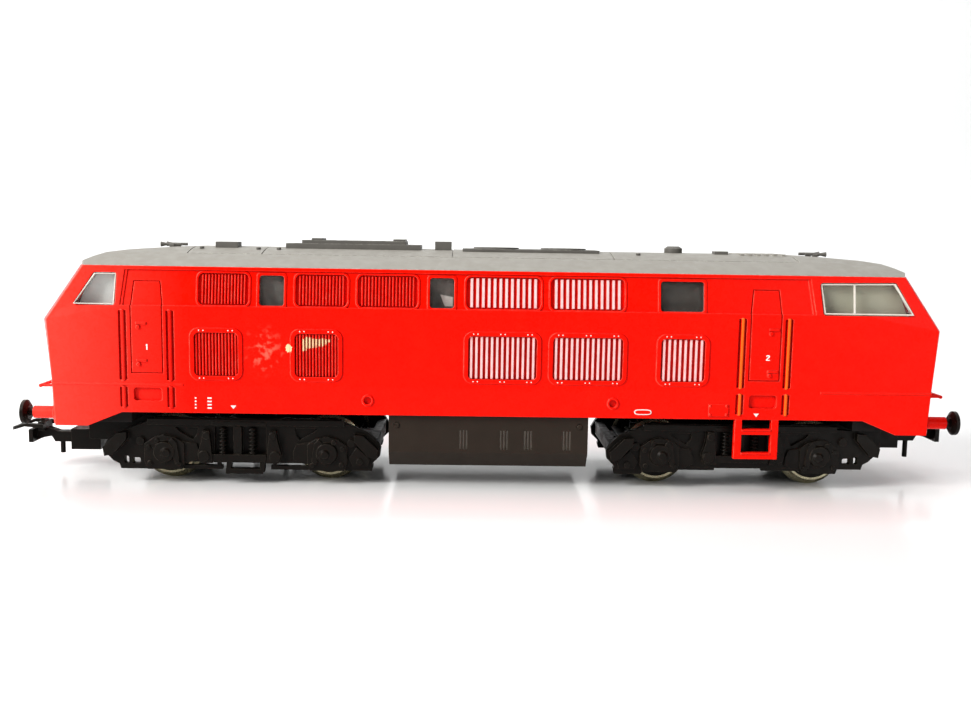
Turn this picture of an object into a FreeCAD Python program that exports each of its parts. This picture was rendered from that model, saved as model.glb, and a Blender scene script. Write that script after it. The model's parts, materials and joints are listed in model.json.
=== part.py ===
import math
import os

import FreeCAD, Part

# Model diesel locomotive on two bogies, 1:87 scale.
# All sizes are in millimetres. X runs along the locomotive, the side that is
# described as "near" faces -Y, and Z is up from the plane of the wheel flanges.

os.makedirs("parts", exist_ok=True)
V = FreeCAD.Vector
UP = V(0, 0, 1)
ALONG = V(1, 0, 0)
ACROSS = V(0, 1, 0)

# ---------------------------------------------------------------- main sizes
buffer_face = 95.2          # half the length over the buffers
pivot_x = 49.43             # bogie pivot from the middle, 8.6 m at 1:87
axle_half = 16.1            # axle from the bogie pivot, half of 2.8 m at 1:87
tread_radius = 5.75         # wheel of 1.0 m at 1:87
flange_depth = 1.1
axle_z = tread_radius + flange_depth
wheel_back = 7.2            # half the distance between wheel backs
wheel_face = 10.0

# body shell
wall = 1.2
side_y = 17.9
waist_z = 35.8
eaves_z = 43.4
eaves_y = 16.6
skirt_z = 15.0
end_bottom_z = 12.2
skirt_turn_x = 72.6
skirt_end_x = 79.4
ridge_z = 20.5
fold_x = 72.0
nose_fold_z = 32.7
band_top_z = 42.7
band_depth = 0.35

# roof
roof_top_z = 47.2
roof_radius = 37.3

# buffers
buffer_y = 10.06
buffer_z = 13.5
sleeve_end = 92.6
sleeve_radius = 1.25
stem_radius = 0.8
fit = 0.05                  # radial clearance of shafts in their bores

# bogie
frame_in_y = 12.2
frame_out_y = 13.6
axle_radius = 1.0
stub_radius = 0.55
box_plane_y = 14.3
left_pin_x = 36.4           # swing pin of each coupling, outward from its bogie pivot
right_pin_x = 34.4
left_detail_lift = -0.45     # side frame castings of each bogie, against their mean height
right_detail_lift = 0.45
rim_bore = 5.1

# gear train, heights above the axle
module_low = 0.5
module_high = 0.4
idler_x = 7.04
idler_up = 4.23
compound_up = 8.99
motor_up = 18.99


# ---------------------------------------------------------------- helpers
def box(x0, x1, y0, y1, z0, z1):
    return Part.makeBox(x1 - x0, y1 - y0, z1 - z0, V(x0, y0, z0))


def cyl(x, y, z, axis, radius, length):
    return Part.makeCylinder(radius, length, V(x, y, z), axis)


def cone(x, y, z, axis, r0, r1, length):
    return Part.makeCone(r0, r1, length, V(x, y, z), axis)


def join(shapes):
    first = shapes[0]
    rest = shapes[1:]
    return first.fuse(rest) if rest else first


def without(shape, tools):
    return shape.cut(Part.makeCompound(tools))


def prism_xz(points, y0, y1):
    """Side-view outline pushed through from y0 to y1."""
    wire = Part.makePolygon([V(x, y0, z) for x, z in points + points[:1]])
    return Part.Face(wire).extrude(V(0, y1 - y0, 0))


def prism_yz(points, x0, x1):
    """Front-view outline pushed through from x0 to x1."""
    wire = Part.makePolygon([V(x0, y, z) for y, z in points + points[:1]])
    return Part.Face(wire).extrude(V(x1 - x0, 0, 0))


def rounded(x0, x1, z0, z1, radius, y0, y1):
    """Rounded rectangle in side view pushed through from y0 to y1."""
    block = box(x0, x1, y0, y1, z0, z1)
    edges = [e for e in block.Edges if abs(e.Vertexes[0].Y - e.Vertexes[1].Y) > 0.01]
    return block.makeFillet(radius, edges)


def corners_rounded(prism, radius):
    """Side-view prism with its outline corners rounded."""
    edges = [e for e in prism.Edges if abs(e.Vertexes[0].Y - e.Vertexes[1].Y) > 0.01]
    return prism.makeFillet(radius, edges)


def mirrored_y(shape):
    return shape.mirror(V(0, 0, 0), ACROSS)


def mirrored_x(shape):
    return shape.mirror(V(0, 0, 0), ALONG)


def both_sides(shapes):
    return shapes + [mirrored_y(s) for s in shapes]


def moved(shape, dx=0.0, dy=0.0, dz=0.0):
    copy = shape.copy()
    copy.translate(V(dx, dy, dz))
    return copy


def turned_y(profile, x, z):
    wire = Part.makePolygon([V(x + r, y, z) for r, y in profile + profile[:1]])
    return Part.Face(wire).revolve(V(x, 0, z), ACROSS, 360)


def save(shape, name):
    solids = shape.Solids
    out = solids[0] if len(solids) == 1 else Part.makeCompound(solids)
    out.exportStep("parts/" + name + ".step")


# ---------------------------------------------------------------- body skin
def quarter_rings(inset):
    """Corner points of one quarter of the shell at its four levels."""
    i = inset
    low = [(fold_x, 17.6 - i, end_bottom_z), (85.65 - i, 17.4 - i, end_bottom_z),
           (87.35 - i, 13.9 - i, end_bottom_z), (88.25 - i, 0, end_bottom_z)]
    ridge = [(fold_x, side_y - i, ridge_z), (85.95 - i, 17.6 - i, ridge_z),
             (87.35 - i, 14.2 - i, ridge_z), (88.35 - i, 0, ridge_z)]
    fold = [(fold_x, side_y - i, waist_z), (86.9 - i, 17.2 - i, 32.9),
            (88.7 - i, 13.6 - i, nose_fold_z), (89.7 - i, 0, nose_fold_z)]
    eaves = [(fold_x, eaves_y - i, eaves_z), (79.8 - i, 16.4 - i, eaves_z),
             (81.2 - i, 13.5 - i, eaves_z), (82.2 - i, 0, eaves_z)]
    return [low, ridge, fold, eaves]


def full_ring(quarter):
    right_near = [V(x, -y, z) for x, y, z in quarter]
    right_far = [V(x, y, z) for x, y, z in reversed(quarter[:-1])]
    left_far = [V(-x, y, z) for x, y, z in quarter]
    left_near = [V(-x, -y, z) for x, y, z in reversed(quarter[:-1])]
    return right_near + right_far + left_far + left_near


def patch(a, b, c, d):
    """A four-sided face, split in two when its corners are not in one plane."""
    normal = (b - a).cross(c - a)
    flat = normal.Length > 1e-9 and abs((d - a).dot(normal)) / normal.Length < 1e-6
    if flat:
        return [Part.Face(Part.makePolygon([a, b, c, d, a]))]
    return [Part.Face(Part.makePolygon([a, b, c, a])), Part.Face(Part.makePolygon([a, c, d, a]))]


def skin(inset, overrun=0.0):
    """Solid bounded by the shell surface moved inward by inset."""
    rings = [full_ring(q) for q in quarter_rings(inset)]
    if overrun > 0:
        rings = [[p - UP * overrun for p in rings[0]]] + rings
        rings = rings + [[p + UP * overrun for p in rings[-1]]]
    faces = []
    count = len(rings[0])
    for lower, upper in zip(rings, rings[1:]):
        for k in range(count):
            n = (k + 1) % count
            faces += patch(lower[k], lower[n], upper[n], upper[k])
    for ring in (rings[0], rings[-1]):
        faces.append(Part.Face(Part.makePolygon(ring + ring[:1])))
    solid = Part.Solid(Part.Shell(faces))
    return solid if solid.Volume > 0 else solid.reversed()


def layer(prism, outer, inner):
    """Part of a prism lying between two depths below the shell surface."""
    return prism.common(skin(outer)).cut(skin(inner, 2.0))


def carve(prism, depth):
    """Tool that removes the shell surface within a prism down to a depth."""
    return prism.cut(skin(depth, 2.0))


# ---------------------------------------------------------------- openings
small_windows = [(-45.9, -41.15), (-13.0, -8.3), (31.9, 40.4)]
upper_louvres = [(-57.6, -47.9, 14), (-38.9, -28.9, 14), (-26.9, -15.3, 16),
                 (-5.9, 8.6, 12), (10.5, 24.9, 12)]
lower_louvres = [(-59.3, -49.1, 13), (-39.9, -29.8, 13), (-6.3, 8.8, 13),
                 (10.2, 25.6, 13), (31.3, 41.7, 8)]
doors = [-67.5, 52.6]
window_z0 = 36.1
window_z1 = 41.9
louvre_z0 = 36.1
louvre_z1 = 42.2
low_louvre_z0 = 21.5
low_louvre_z1 = 31.7
lamp_y = 10.6
lamp_z = 24.6
lamp_radius = 1.5


def cab_window_1(grow):
    g = grow
    pane = prism_xz([(-81.9 - g, 35.8 - g), (-73.5 + g, 35.8 - g), (-73.2 + g, 42.1 + g),
                     (-77.7 - g, 42.1 + g)], -20, -14.2)
    return corners_rounded(pane, 0.6)


def cab_window_2(grow):
    g = grow
    pane = prism_xz([(63.7 - g, 35.8 - g), (81.9 + g, 35.8 - g), (78.1 + g, 42.3 + g),
                     (63.0 - g, 42.1 + g)], -20, -14.2)
    return corners_rounded(pane, 0.6)


def side_window(x0, x1, grow):
    g = grow
    return rounded(x0 - g, x1 + g, window_z0 - g, window_z1 + g, 0.6, -20, -14.2)


def front_windows(grow, end):
    """The pair of windscreens, grown outward by grow, at one end of the shell."""
    g = grow
    grown = [(1.1 - g, 35.6 - g), (12.4 + g, 35.6 - g), (11.4 + g, 41.2 + g), (1.1 - g, 41.2 + g)]
    pane = prism_yz(grown, 74.0, 95.0)
    pair = [pane, mirrored_y(pane)]
    return pair if end > 0 else [mirrored_x(p) for p in pair]


def lamp_holes(radius, end):
    tools = [cyl(80, y, lamp_z, ALONG, radius, 12) for y in (-lamp_y, lamp_y)]
    tools.append(cyl(74, 0, 42.2, ALONG, 0.75 * radius / lamp_radius, 12))
    return tools if end > 0 else [mirrored_x(t) for t in tools]


def slat_edges(x0, x1, count, margin):
    """Start and end of each slat across a louvre opening."""
    pitch = (x1 - x0 - 2 * margin) / count
    starts = [x0 + margin + pitch * (k + 0.22) for k in range(count)]
    return [(s, s + 0.5 * pitch) for s in starts]


def upper_louvre_cuts():
    tools = []
    for x0, x1, count in upper_louvres:
        hole = rounded(x0, x1, louvre_z0, louvre_z1, 1.1, -20, -14)
        tools.append(carve(hole, band_depth + 0.45))
    return tools


def upper_louvre_slats():
    bars = []
    for x0, x1, count in upper_louvres:
        for a, b in slat_edges(x0, x1, count, 0.5):
            bars.append(box(a, b, -20, -14, louvre_z0 + 0.25, louvre_z1 - 0.25))
    return layer(Part.makeCompound(bars), band_depth + 0.08, band_depth + 0.6)


def band_frames():
    """Raised rims round the small windows and the upper louvres."""
    rims = []
    for x0, x1 in small_windows:
        rims.append(side_window(x0, x1, 0.5).cut(side_window(x0, x1, 0)))
    for x0, x1, count in upper_louvres:
        outer = rounded(x0 - 0.4, x1 + 0.4, louvre_z0 - 0.4, louvre_z1 + 0.4, 1.4, -20, -14)
        inner = rounded(x0, x1, louvre_z0, louvre_z1, 1.1, -21, -13)
        rims.append(outer.cut(inner))
    return layer(Part.makeCompound(rims), band_depth - 0.15, band_depth + 0.3)


def lower_louvre_frames():
    frames = []
    for x0, x1, count in lower_louvres:
        rim = rounded(x0, x1, low_louvre_z0, low_louvre_z1, 1.8, -side_y - 0.2, -side_y + 0.4)
        hole = rounded(x0 + 0.9, x1 - 0.9, low_louvre_z0 + 0.9, low_louvre_z1 - 0.9, 0.9,
                       -side_y - 1.0, -side_y + 1.0)
        frames.append(rim.cut(hole))
    return frames


def lower_louvre_cuts():
    tools = []
    for x0, x1, count in lower_louvres:
        tools.append(rounded(x0 + 0.9, x1 - 0.9, low_louvre_z0 + 0.9, low_louvre_z1 - 0.9, 0.9,
                             -side_y - 1.0, -side_y + 0.5))
    return tools


def lower_louvre_slats():
    bars = []
    for x0, x1, count in lower_louvres:
        for a, b in slat_edges(x0 + 0.9, x1 - 0.9, count, 0.1):
            bars.append(box(a, b, -side_y + 0.05, -side_y + 0.7,
                            low_louvre_z0 + 1.0, low_louvre_z1 - 1.0))
    return bars


def band_cut(x_end):
    """Recessed window band, stepped down at its two ends."""
    steps = []
    for out, depth in ((0.55, 0.5 * band_depth), (0.0, band_depth)):
        outline = [(-72.0 - out, waist_z + 0.1), (x_end + 0.6 + out, waist_z + 0.1),
                   (x_end - 0.4 + out, band_top_z), (-71.2 - out, band_top_z)]
        steps.append(carve(prism_xz(outline, -20, -14), depth))
    return steps


def door_cuts(xc):
    """Joint lines round one cab door, the handrail channels and the step."""
    half = 3.1
    groove = 0.22
    y_in = -side_y + 0.2
    tools = [box(xc - half, xc - half + groove, -19, y_in, 22.7, waist_z),
             box(xc + half - groove, xc + half, -19, y_in, 22.7, waist_z),
             box(xc - half, xc + half, -19, y_in, 22.7, 22.7 + groove)]
    left = [(xc - 3.1, waist_z), (xc - 2.9, waist_z), (xc - 2.4, 40.6), (xc - 2.6, 40.6)]
    right = [(xc + 2.9, waist_z), (xc + 3.1, waist_z), (xc + 2.6, 40.6), (xc + 2.4, 40.6)]
    top = [(xc - 2.6, 40.4), (xc + 2.6, 40.4), (xc + 2.6, 40.6), (xc - 2.6, 40.6)]
    for outline in (left, right, top):
        tools.append(carve(prism_xz(outline, -20, -14), band_depth + 0.2))
    for dx in (-4.6, 4.5):
        for z0, z1 in ((21.4, 34.9), (16.1, 20.0)):
            tools.append(box(xc + dx - 0.75, xc + dx + 0.75, -19, -side_y + 0.5, z0, z1))
    tools.append(rounded(xc - 2.7, xc + 2.7, 17.3, 19.9, 0.6, -19, -side_y + 0.8))
    return tools


def door_rails(xc):
    rails = []
    for dx in (-4.6, 4.5):
        for z0, z1 in ((21.2, 35.1), (15.9, 20.2)):
            rails.append(cyl(xc + dx, -side_y + 0.15, z0, UP, 0.36, z1 - z0))
    return rails


def door_fittings(xc, hinge_x, high, low):
    """Two small latch castings on a door."""
    parts = []
    for z in (high, low):
        parts.append(box(xc + hinge_x - 1.0, xc + hinge_x + 1.0, -side_y - 0.25, -side_y + 0.1,
                         z, z + 0.5))
        parts.append(cyl(xc + hinge_x - 0.6, -side_y - 0.3, z - 0.5, ACROSS, 0.4, 0.5))
    return parts


def lifting_sockets():
    return [(-24.9, 17.9), (23.1, 17.9)]


# ---------------------------------------------------------------- body shell
def body_shell():
    outer = skin(0.0)
    shell = outer.cut(skin(wall, 2.0))
    under = prism_xz([(-skirt_end_x, 9), (-skirt_end_x, end_bottom_z), (-skirt_turn_x, skirt_z),
                      (skirt_turn_x, skirt_z), (skirt_end_x, end_bottom_z), (skirt_end_x, 9)],
                     -20, 20)
    shell = shell.cut(under)
    near_cuts = band_cut(61.1) + [cab_window_1(0), cab_window_2(0)]
    near_cuts += [side_window(a, b, 0) for a, b in small_windows]
    near_cuts += upper_louvre_cuts() + lower_louvre_cuts()
    for xc in doors:
        near_cuts += door_cuts(xc)
    for x, z in lifting_sockets():
        near_cuts.append(cyl(x, -19, z, ACROSS, 0.75, 1.6))
    cuts = both_sides(near_cuts)
    for end in (-1, 1):
        cuts += front_windows(0, end) + lamp_holes(lamp_radius, end)
    shell = without(shell, cuts)
    near_adds = lower_louvre_frames() + lower_louvre_slats() + upper_louvre_slats().Solids
    near_adds += band_frames().Solids
    for xc in doors:
        near_adds += door_rails(xc)
    near_adds += door_fittings(doors[0], -1.0, 32.2, 25.0)
    near_adds += door_fittings(doors[1], 1.6, 32.6, 24.4)
    for x, z in lifting_sockets():
        ring = cyl(x, -side_y - 0.12, z, ACROSS, 1.15, 0.5)
        near_adds.append(ring.cut(cyl(x, -19, z, ACROSS, 0.75, 3)))
    adds = both_sides(near_adds)
    adds += ridge_beads()
    adds += [sleeve(end, y) for end in (-1, 1) for y in (-buffer_y, buffer_y)]
    shell = shell.fuse(adds)
    bores = [sleeve_bore(end, y) for end in (-1, 1) for y in (-buffer_y, buffer_y)]
    pockets = [front_handrail(end) for end in (-1, 1)]
    pockets += [ladder(side) for side in (-1, 1)]
    return without(shell, bores + pockets)


def ridge_beads():
    """Raised line round each cab just above the floor."""
    beads = []
    ring = skin(-0.12).cut(skin(0.3, 2.0))
    for x0, x1 in ((-95, -60.6), (63.9, 95)):
        beads.append(box(x0, x1, -20, 20, ridge_z - 0.15, ridge_z + 0.2).common(ring))
    return beads


def sleeve(end, y):
    base = box(86.2, 87.9, y - 2.0, y + 2.0, buffer_z - 1.5, buffer_z + 2.2)
    tube = cyl(86.2, y, buffer_z, ALONG, sleeve_radius, sleeve_end - 86.2)
    collar = cyl(87.5, y, buffer_z, ALONG, 1.6, 1.0)
    part = join([base, tube, collar])
    return part if end > 0 else mirrored_x(part)


def sleeve_bore(end, y):
    bore = cyl(88.0, y, buffer_z, ALONG, stem_radius + fit, 6.0)
    return bore if end > 0 else mirrored_x(bore)


def buffer_head(end, y):
    """Domed mushroom head on the stem that slides in the sleeve."""
    stem = cyl(89.0, y, buffer_z, ALONG, stem_radius, 4.7)
    back = cone(93.5, y, buffer_z, ALONG, 1.6, 2.45, 0.6)
    disc = cyl(94.1, y, buffer_z, ALONG, 2.45, 1.1)
    ball = Part.makeSphere(7.0, V(buffer_face - 7.0, y, buffer_z))
    part = join([stem, back, disc.common(ball)])
    return part if end > 0 else mirrored_x(part)


def front_handrail(end):
    bar = cyl(90.4, -12.3, 19.2, ACROSS, 0.35, 24.6)
    legs = [cyl(86.4, y, 19.2, ALONG, 0.26, 4.0) for y in (-11.8, 0.0, 11.8)]
    part = join([bar] + legs)
    return part if end > 0 else mirrored_x(part)


def ladder(side):
    """Two-rung step ladder hanging below a door of the second cab."""
    x0 = 47.3
    x1 = 56.0
    foot = 7.1
    stringer = 1.45
    parts = [box(x0, x0 + stringer, -17.7, -16.5, foot, skirt_z),
             box(x1 - stringer, x1, -17.7, -16.5, foot, skirt_z)]
    for z0, z1 in ((12.0, 13.1), (foot, 8.4)):
        parts.append(box(x0, x1, -17.7, -16.5, z0, z1))
        parts.append(box(x0 + stringer, x1 - stringer, -17.9, -16.7, z1 - 0.35, z1))
    for x in (x0 + 0.1, x1 - stringer + 0.1):
        parts.append(box(x, x + stringer - 0.2, -16.65, -16.1, 14.0, 17.5))
    part = join(parts)
    return part if side < 0 else mirrored_y(part)


# ---------------------------------------------------------------- glazing
def cab_glazing(end):
    """One clear moulding behind the windscreens and side windows of a cab."""
    if end < 0:
        near = [cab_window_1(-0.04)]
        strip_x = -72.6
    else:
        near = [cab_window_2(-0.04)]
        strip_x = 62.4
    panes = both_sides(near) + front_windows(-0.04, end)
    pane = layer(Part.makeCompound(panes), 0.3, wall + 0.3)
    zone = box(strip_x, 95, -20, 20, 34.9, 42.5)
    if end < 0:
        zone = box(-95, strip_x, -20, 20, 34.9, 42.5)
    band = layer(zone, wall + 0.1, wall + 0.6)
    gap = without(band, lamp_holes(lamp_radius + 0.3, end))
    return join([gap] + pane.Solids)


def side_glazing():
    """Clear strip with three raised panes behind the small windows of one side."""
    panes = [side_window(a, b, -0.04) for a, b in small_windows]
    pane = layer(Part.makeCompound(panes), band_depth + 0.3, wall + 0.3)
    zone = box(-50, 44, -20, -10, 35.2, 42.7)
    band = layer(zone, wall + 0.1, wall + 0.5)
    return join([band] + pane.Solids)


def lamp_lenses(end):
    """Three clear lamp lenses of one cab front."""
    rods = []
    for hole in lamp_holes(lamp_radius - 0.04, end):
        rods += layer(hole, 0.15, wall + 0.5).Solids
    return Part.makeCompound(rods)


# ---------------------------------------------------------------- roof
def roof_solid(inset):
    """Curved roof block, moved inward by inset."""
    i = inset
    top = roof_top_z - i
    barrel = cyl(-90, 0, roof_top_z - roof_radius, ALONG, roof_radius - i, 180)
    ramp = [(81.9 - 1.7 * i, eaves_z), (80.6 - 1.5 * i, 44.15 - 0.3 * i),
            (79.1 - 1.3 * i, 45.05 - 0.6 * i), (77.3 - i, 45.8 - 0.8 * i), (73.6 - i, 46.35 - i),
            (66.2 - i, 46.9 - i), (58.0 - i, top + 0.1)]
    profile = prism_xz([(-x, z) for x, z in ramp] + ramp[::-1], -20, 20)
    outline = [(79.6 - i, -(eaves_y - i)), (81.0 - i, -(13.4 - i)), (82.0 - i, 0),
               (81.0 - i, 13.4 - i), (79.6 - i, eaves_y - i)]
    ring = outline + [(-x, -y) for x, y in outline]
    wire = Part.makePolygon([V(x, y, eaves_z - 1) for x, y in ring + ring[:1]])
    plan = Part.Face(wire).extrude(V(0, 0, 8))
    block = barrel.common(profile).common(plan)
    return block.cut(box(-95, 95, -25, 25, 30, eaves_z))


def roof_seams():
    """Narrow joints between the roof hatches."""
    band = roof_solid(-0.5).cut(roof_solid(0.2))
    lines = [box(x - 0.12, x + 0.12, -10, 10, 43, 49) for x in (-61.4, -46.7, -8.8, 23.6, 60.8)]
    lines += [box(-61.4, 60.8, y - 0.12, y + 0.12, 43, 49) for y in (-10, 10)]
    return join(lines).common(band)


def roof_shell():
    shell = roof_solid(0.0).cut(roof_solid(1.2))
    ribs = [box(50.2 + 1.7 * k, 51.0 + 1.7 * k, -5, 5, 45.5, roof_top_z + 0.12) for k in range(6)]
    shell = shell.cut(roof_seams())
    inner = roof_solid(0.6)
    return join([shell] + [r.cut(inner) for r in ribs])


def on_roof(shape):
    return shape.cut(roof_solid(0.0))


def exhaust_housing():
    base = box(-42.9, -15.4, -4.2, 4.2, 45.9, 48.0)
    step = box(-39.7, -18.4, -3.6, 3.6, 47.5, 48.7)
    bumps = [box(-37.8, -35.6, -3.0, 3.0, 48.2, 49.1), box(-21.1, -18.6, -3.0, 3.0, 48.2, 49.1)]
    slots = [box(-34.5 + 2.6 * k, -33.3 + 2.6 * k, -2.8, 2.8, 48.3, 49.5) for k in range(5)]
    return on_roof(without(join([base, step] + bumps), slots))


def fan_grille():
    """Low plate with two round cooling fan openings."""
    plate = box(-6.8, 21.2, -5.0, 5.0, 45.9, 47.45)
    rings = [cyl(xc, 0, 46.8, UP, 4.7, 0.95) for xc in (0.2, 14.2)]
    part = join([plate] + rings)
    slots = []
    for xc in (0.2, 14.2):
        for k in range(-4, 5):
            half = math.sqrt(4.1 ** 2 - (0.92 * k) ** 2)
            slots.append(box(xc - half, xc + half, 0.92 * k - 0.25, 0.92 * k + 0.25, 47.25, 49))
    return on_roof(without(part, slots))


def roof_fittings():
    """Small filler, vent and aerial castings on the hatches."""
    parts = [box(-57.1, -52.6, -4.6, -0.8, 46.2, 48.1), box(-12.5, -9.1, -3.2, -1.4, 46.2, 48.8),
             box(45.3, 48.1, -3.2, -0.8, 46.5, 47.7)]
    parts.append(cyl(37.3, 0, 46.5, UP, 1.85, 1.6))
    parts.append(cone(37.3, 0, 48.1, UP, 1.85, 1.2, 0.45))
    for x in (-59.5, -46.7 - 1.4, -44.0, 29.0):
        parts.append(cyl(x, -6.0, 45.8, UP, 0.45, 1.3))
    return Part.makeCompound([on_roof(p) for p in (parts[:3] + [join(parts[3:5])] + parts[5:])])


def roof_horns():
    """Twin horns near each cab, on small feet."""
    pieces = []
    for side in (-1, 1):
        foot = box(-67.0, -66.0, side * 2.2 - 0.4, side * 2.2 + 0.4, 46.0, 47.4)
        tube = cyl(-67.7, side * 2.2, 47.4, ALONG, 0.3, 3.2)
        bell = cone(-68.8, side * 2.2, 47.4, ALONG, 0.52, 0.3, 1.1)
        horn = on_roof(join([foot, tube, bell]))
        pieces += [horn, mirrored_x(horn)]
    return Part.makeCompound(pieces)


# ---------------------------------------------------------------- underframe
def chassis_frame():
    """Floor casting with the two bogie mountings."""
    floor = box(-84.0, 84.0, -16.0, 16.0, skirt_z, 17.0)
    nose = box(71.5, 83.5, -15.5, 15.5, 12.6, 15.2)
    floor = join([floor, nose, mirrored_x(nose)])
    motor_well = box(pivot_x - 15.0, pivot_x + 15.0, -11.5, 11.5, 14, 18)
    floor = floor.cut(motor_well)
    notch = [box(47.0, 56.4, side * 16.2 - 0.3, side * 16.2 + 0.3, 12, 18) for side in (-1, 1)]
    floor = without(floor, notch)
    boss = cyl(-pivot_x, 0, 9.3, UP, 3.0, 6.0)
    tap = cyl(-pivot_x, 0, 9.0, UP, 1.2, 6.0)
    posts = [box(pivot_x + s * 15.5 - 1.0, pivot_x + s * 15.5 + 1.0, -4, 4, 16.5, 38.6)
             for s in (-1, 1)]
    bar = box(pivot_x - 16.5, pivot_x + 16.5, -4, 4, 36.6, 38.6)
    eye = cyl(pivot_x, 0, 30, UP, 2.0 + fit, 12)
    frame = join([floor, boss] + posts + [bar])
    return without(frame, [tap, eye])


def ballast_weight():
    """Cast weight standing on the floor between the cabs."""
    block = box(-10.8, 31.0, -9.5, 9.5, 17.0, 40.2)
    return block.cut(box(24.0, 32.0, -10, 10, 16.5, 18.0))


def rear_weight():
    return box(-62.0, -36.0, -11.0, 11.0, 17.0, 31.0)


tank_x0 = -20.9
tank_x1 = 18.5
tank_top = 14.9
tank_bottom = 4.4
tank_y = 16.5


def tank_outline(inset):
    i = inset
    return [(-tank_y + i, tank_top), (-tank_y + i, 7.5 + 0.4 * i), (-14.0 + 0.6 * i, tank_bottom + i),
            (14.0 - 0.6 * i, tank_bottom + i), (tank_y - i, 7.5 + 0.4 * i), (tank_y - i, tank_top)]


def fuel_tank():
    """Hollow fuel tank and battery box skirt, open at its ends for the bogies."""
    tank = prism_yz(tank_outline(0), tank_x0, tank_x1)
    hollow = prism_yz(tank_outline(1.1), tank_x0 - 1, tank_x1 + 1)
    shell = tank.cut(hollow)
    walls = [prism_yz(tank_outline(0.5), x, x + 1.2) for x in (tank_x0 + 3.0, tank_x1 - 4.2)]
    flange = box(tank_x0 + 3.0, tank_x1 - 3.0, -tank_y + 0.5, tank_y - 0.5, tank_top - 1.0, skirt_z)
    shell = join([shell] + walls + [flange])
    cuts = []
    for xc in (-6.15, 1.85, 6.6, 14.3):
        for k in (-1, 0, 1):
            for side in (-1, 1):
                cuts.append(box(xc + 0.62 * k - 0.14, xc + 0.62 * k + 0.14,
                                side * tank_y - 0.3, side * tank_y + 0.3, 8.2, 12.0))
    for x, z in tank_screw_places():
        for side in (-1, 1):
            cuts.append(cyl(x, side * tank_y - 0.5, z, ACROSS, 0.55, 1.0))
    return without(shell, cuts)


def tank_screw_places():
    return [(-19.3, 12.9), (16.8, 12.9)]


def tank_screws():
    heads = []
    for x, z in tank_screw_places():
        for side in (-1, 1):
            head = cyl(x, side * (tank_y - 0.1) - 0.3, z, ACROSS, 0.5, 0.6)
            slot = box(x - 0.6, x + 0.6, side * tank_y + side * 0.25 - 0.15,
                       side * tank_y + side * 0.25 + 0.15, z - 0.1, z + 0.1)
            heads.append(head.cut(slot))
    return Part.makeCompound(heads)


# ---------------------------------------------------------------- wheelsets
def plain_axle():
    body = cyl(0, -11.9, 0, ACROSS, axle_radius, 23.8)
    stubs = [cyl(0, -13.0, 0, ACROSS, stub_radius, 26.0)]
    return join([body] + stubs)


def wheel_rims(tyre_groove):
    """Pair of steel tyres with flanges, running on both rails."""
    profile = [(rim_bore, wheel_back + 0.25), (6.3, wheel_back), (6.75, wheel_back + 0.15),
               (tread_radius + flange_depth, wheel_back + 0.4), (6.5, wheel_back + 0.7),
               (tread_radius + 0.05, wheel_back + 0.95), (tread_radius, wheel_back + 1.1),
               (tread_radius - 0.05, wheel_face - 0.15), (tread_radius - 0.2, wheel_face),
               (rim_bore, wheel_face)]
    rim = turned_y(profile, 0, 0)
    if tyre_groove:
        ring = turned_y([(5.4, 8.45), (7.5, 8.45), (7.5, 9.65), (5.4, 9.65)], 0, 0)
        rim = rim.cut(ring)
    return Part.makeCompound([rim, mirrored_y(rim)])


def traction_tyres():
    ring = turned_y([(5.42, 8.47), (tread_radius - 0.01, 8.47), (tread_radius - 0.01, 9.63),
                     (5.42, 9.63)], 0, 0)
    return Part.makeCompound([ring, mirrored_y(ring)])


def wheel_centres():
    """Pair of moulded wheel centres pressed between axle and rims."""
    disc = turned_y([(axle_radius, 7.5), (2.1, 7.3), (2.1, 7.9), (4.1, 8.2), (4.1, 7.7),
                     (rim_bore, 7.7), (rim_bore, 9.8), (4.4, 9.8), (4.2, 9.1), (2.2, 9.2), (2.2, 10.4),
                     (axle_radius, 10.4)], 0, 0)
    holes = []
    for k in range(6):
        a = math.radians(60 * k + 30)
        holes.append(cyl(3.05 * math.cos(a), 7.0, 3.05 * math.sin(a), ACROSS, 0.45, 4.0))
    disc = without(disc, holes)
    return Part.makeCompound([disc, mirrored_y(disc)])


# ---------------------------------------------------------------- gears
def gear_outline(teeth, module, phase):
    """Corner points of a spur gear with straight-flanked teeth."""
    pitch_r = 0.5 * module * teeth
    root_r = pitch_r - 1.15 * module
    tip_r = pitch_r + 0.85 * module
    step = 2 * math.pi / teeth
    points = []
    for k in range(teeth):
        mid = phase + k * step
        for r, share in ((root_r, -0.29), (tip_r, -0.105), (tip_r, 0.105), (root_r, 0.29)):
            a = mid + share * step
            points.append((r * math.cos(a), r * math.sin(a)))
    return points


def gear(teeth, module, phase, y0, width, bore):
    body = prism_xz(gear_outline(teeth, module, phase), y0, y0 + width)
    return body.cut(cyl(0, y0 - 1, 0, ACROSS, bore, width + 2))


def mesh_phase(r_a, phase_a, r_b, module, direction):
    """Phase of gear B so that its teeth sit in the gaps of gear A."""
    half_pitch = 0.5 * math.pi * module
    return direction + math.pi + (r_a * (direction - phase_a) - half_pitch) / r_b


teeth_axle = 18
teeth_idler = 22
teeth_small = 12
teeth_big = 40
teeth_pinion = 10
small_r = 0.5 * module_low * teeth_small
idler_r = 0.5 * module_low * teeth_idler
wheel_gear_r = 0.5 * module_low * teeth_axle
big_r = 0.5 * module_high * teeth_big
pinion_r = 0.5 * module_high * teeth_pinion
small_phase = math.radians(90)


def idler_direction(side):
    return math.atan2(idler_up - compound_up, side * idler_x)


def idler_phase(side):
    return mesh_phase(small_r, small_phase, idler_r, module_low, idler_direction(side))


def axle_gear_phase(side):
    direction = math.atan2(-idler_up, side * (axle_half - idler_x))
    return mesh_phase(idler_r, idler_phase(side), wheel_gear_r, module_low, direction)


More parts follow.
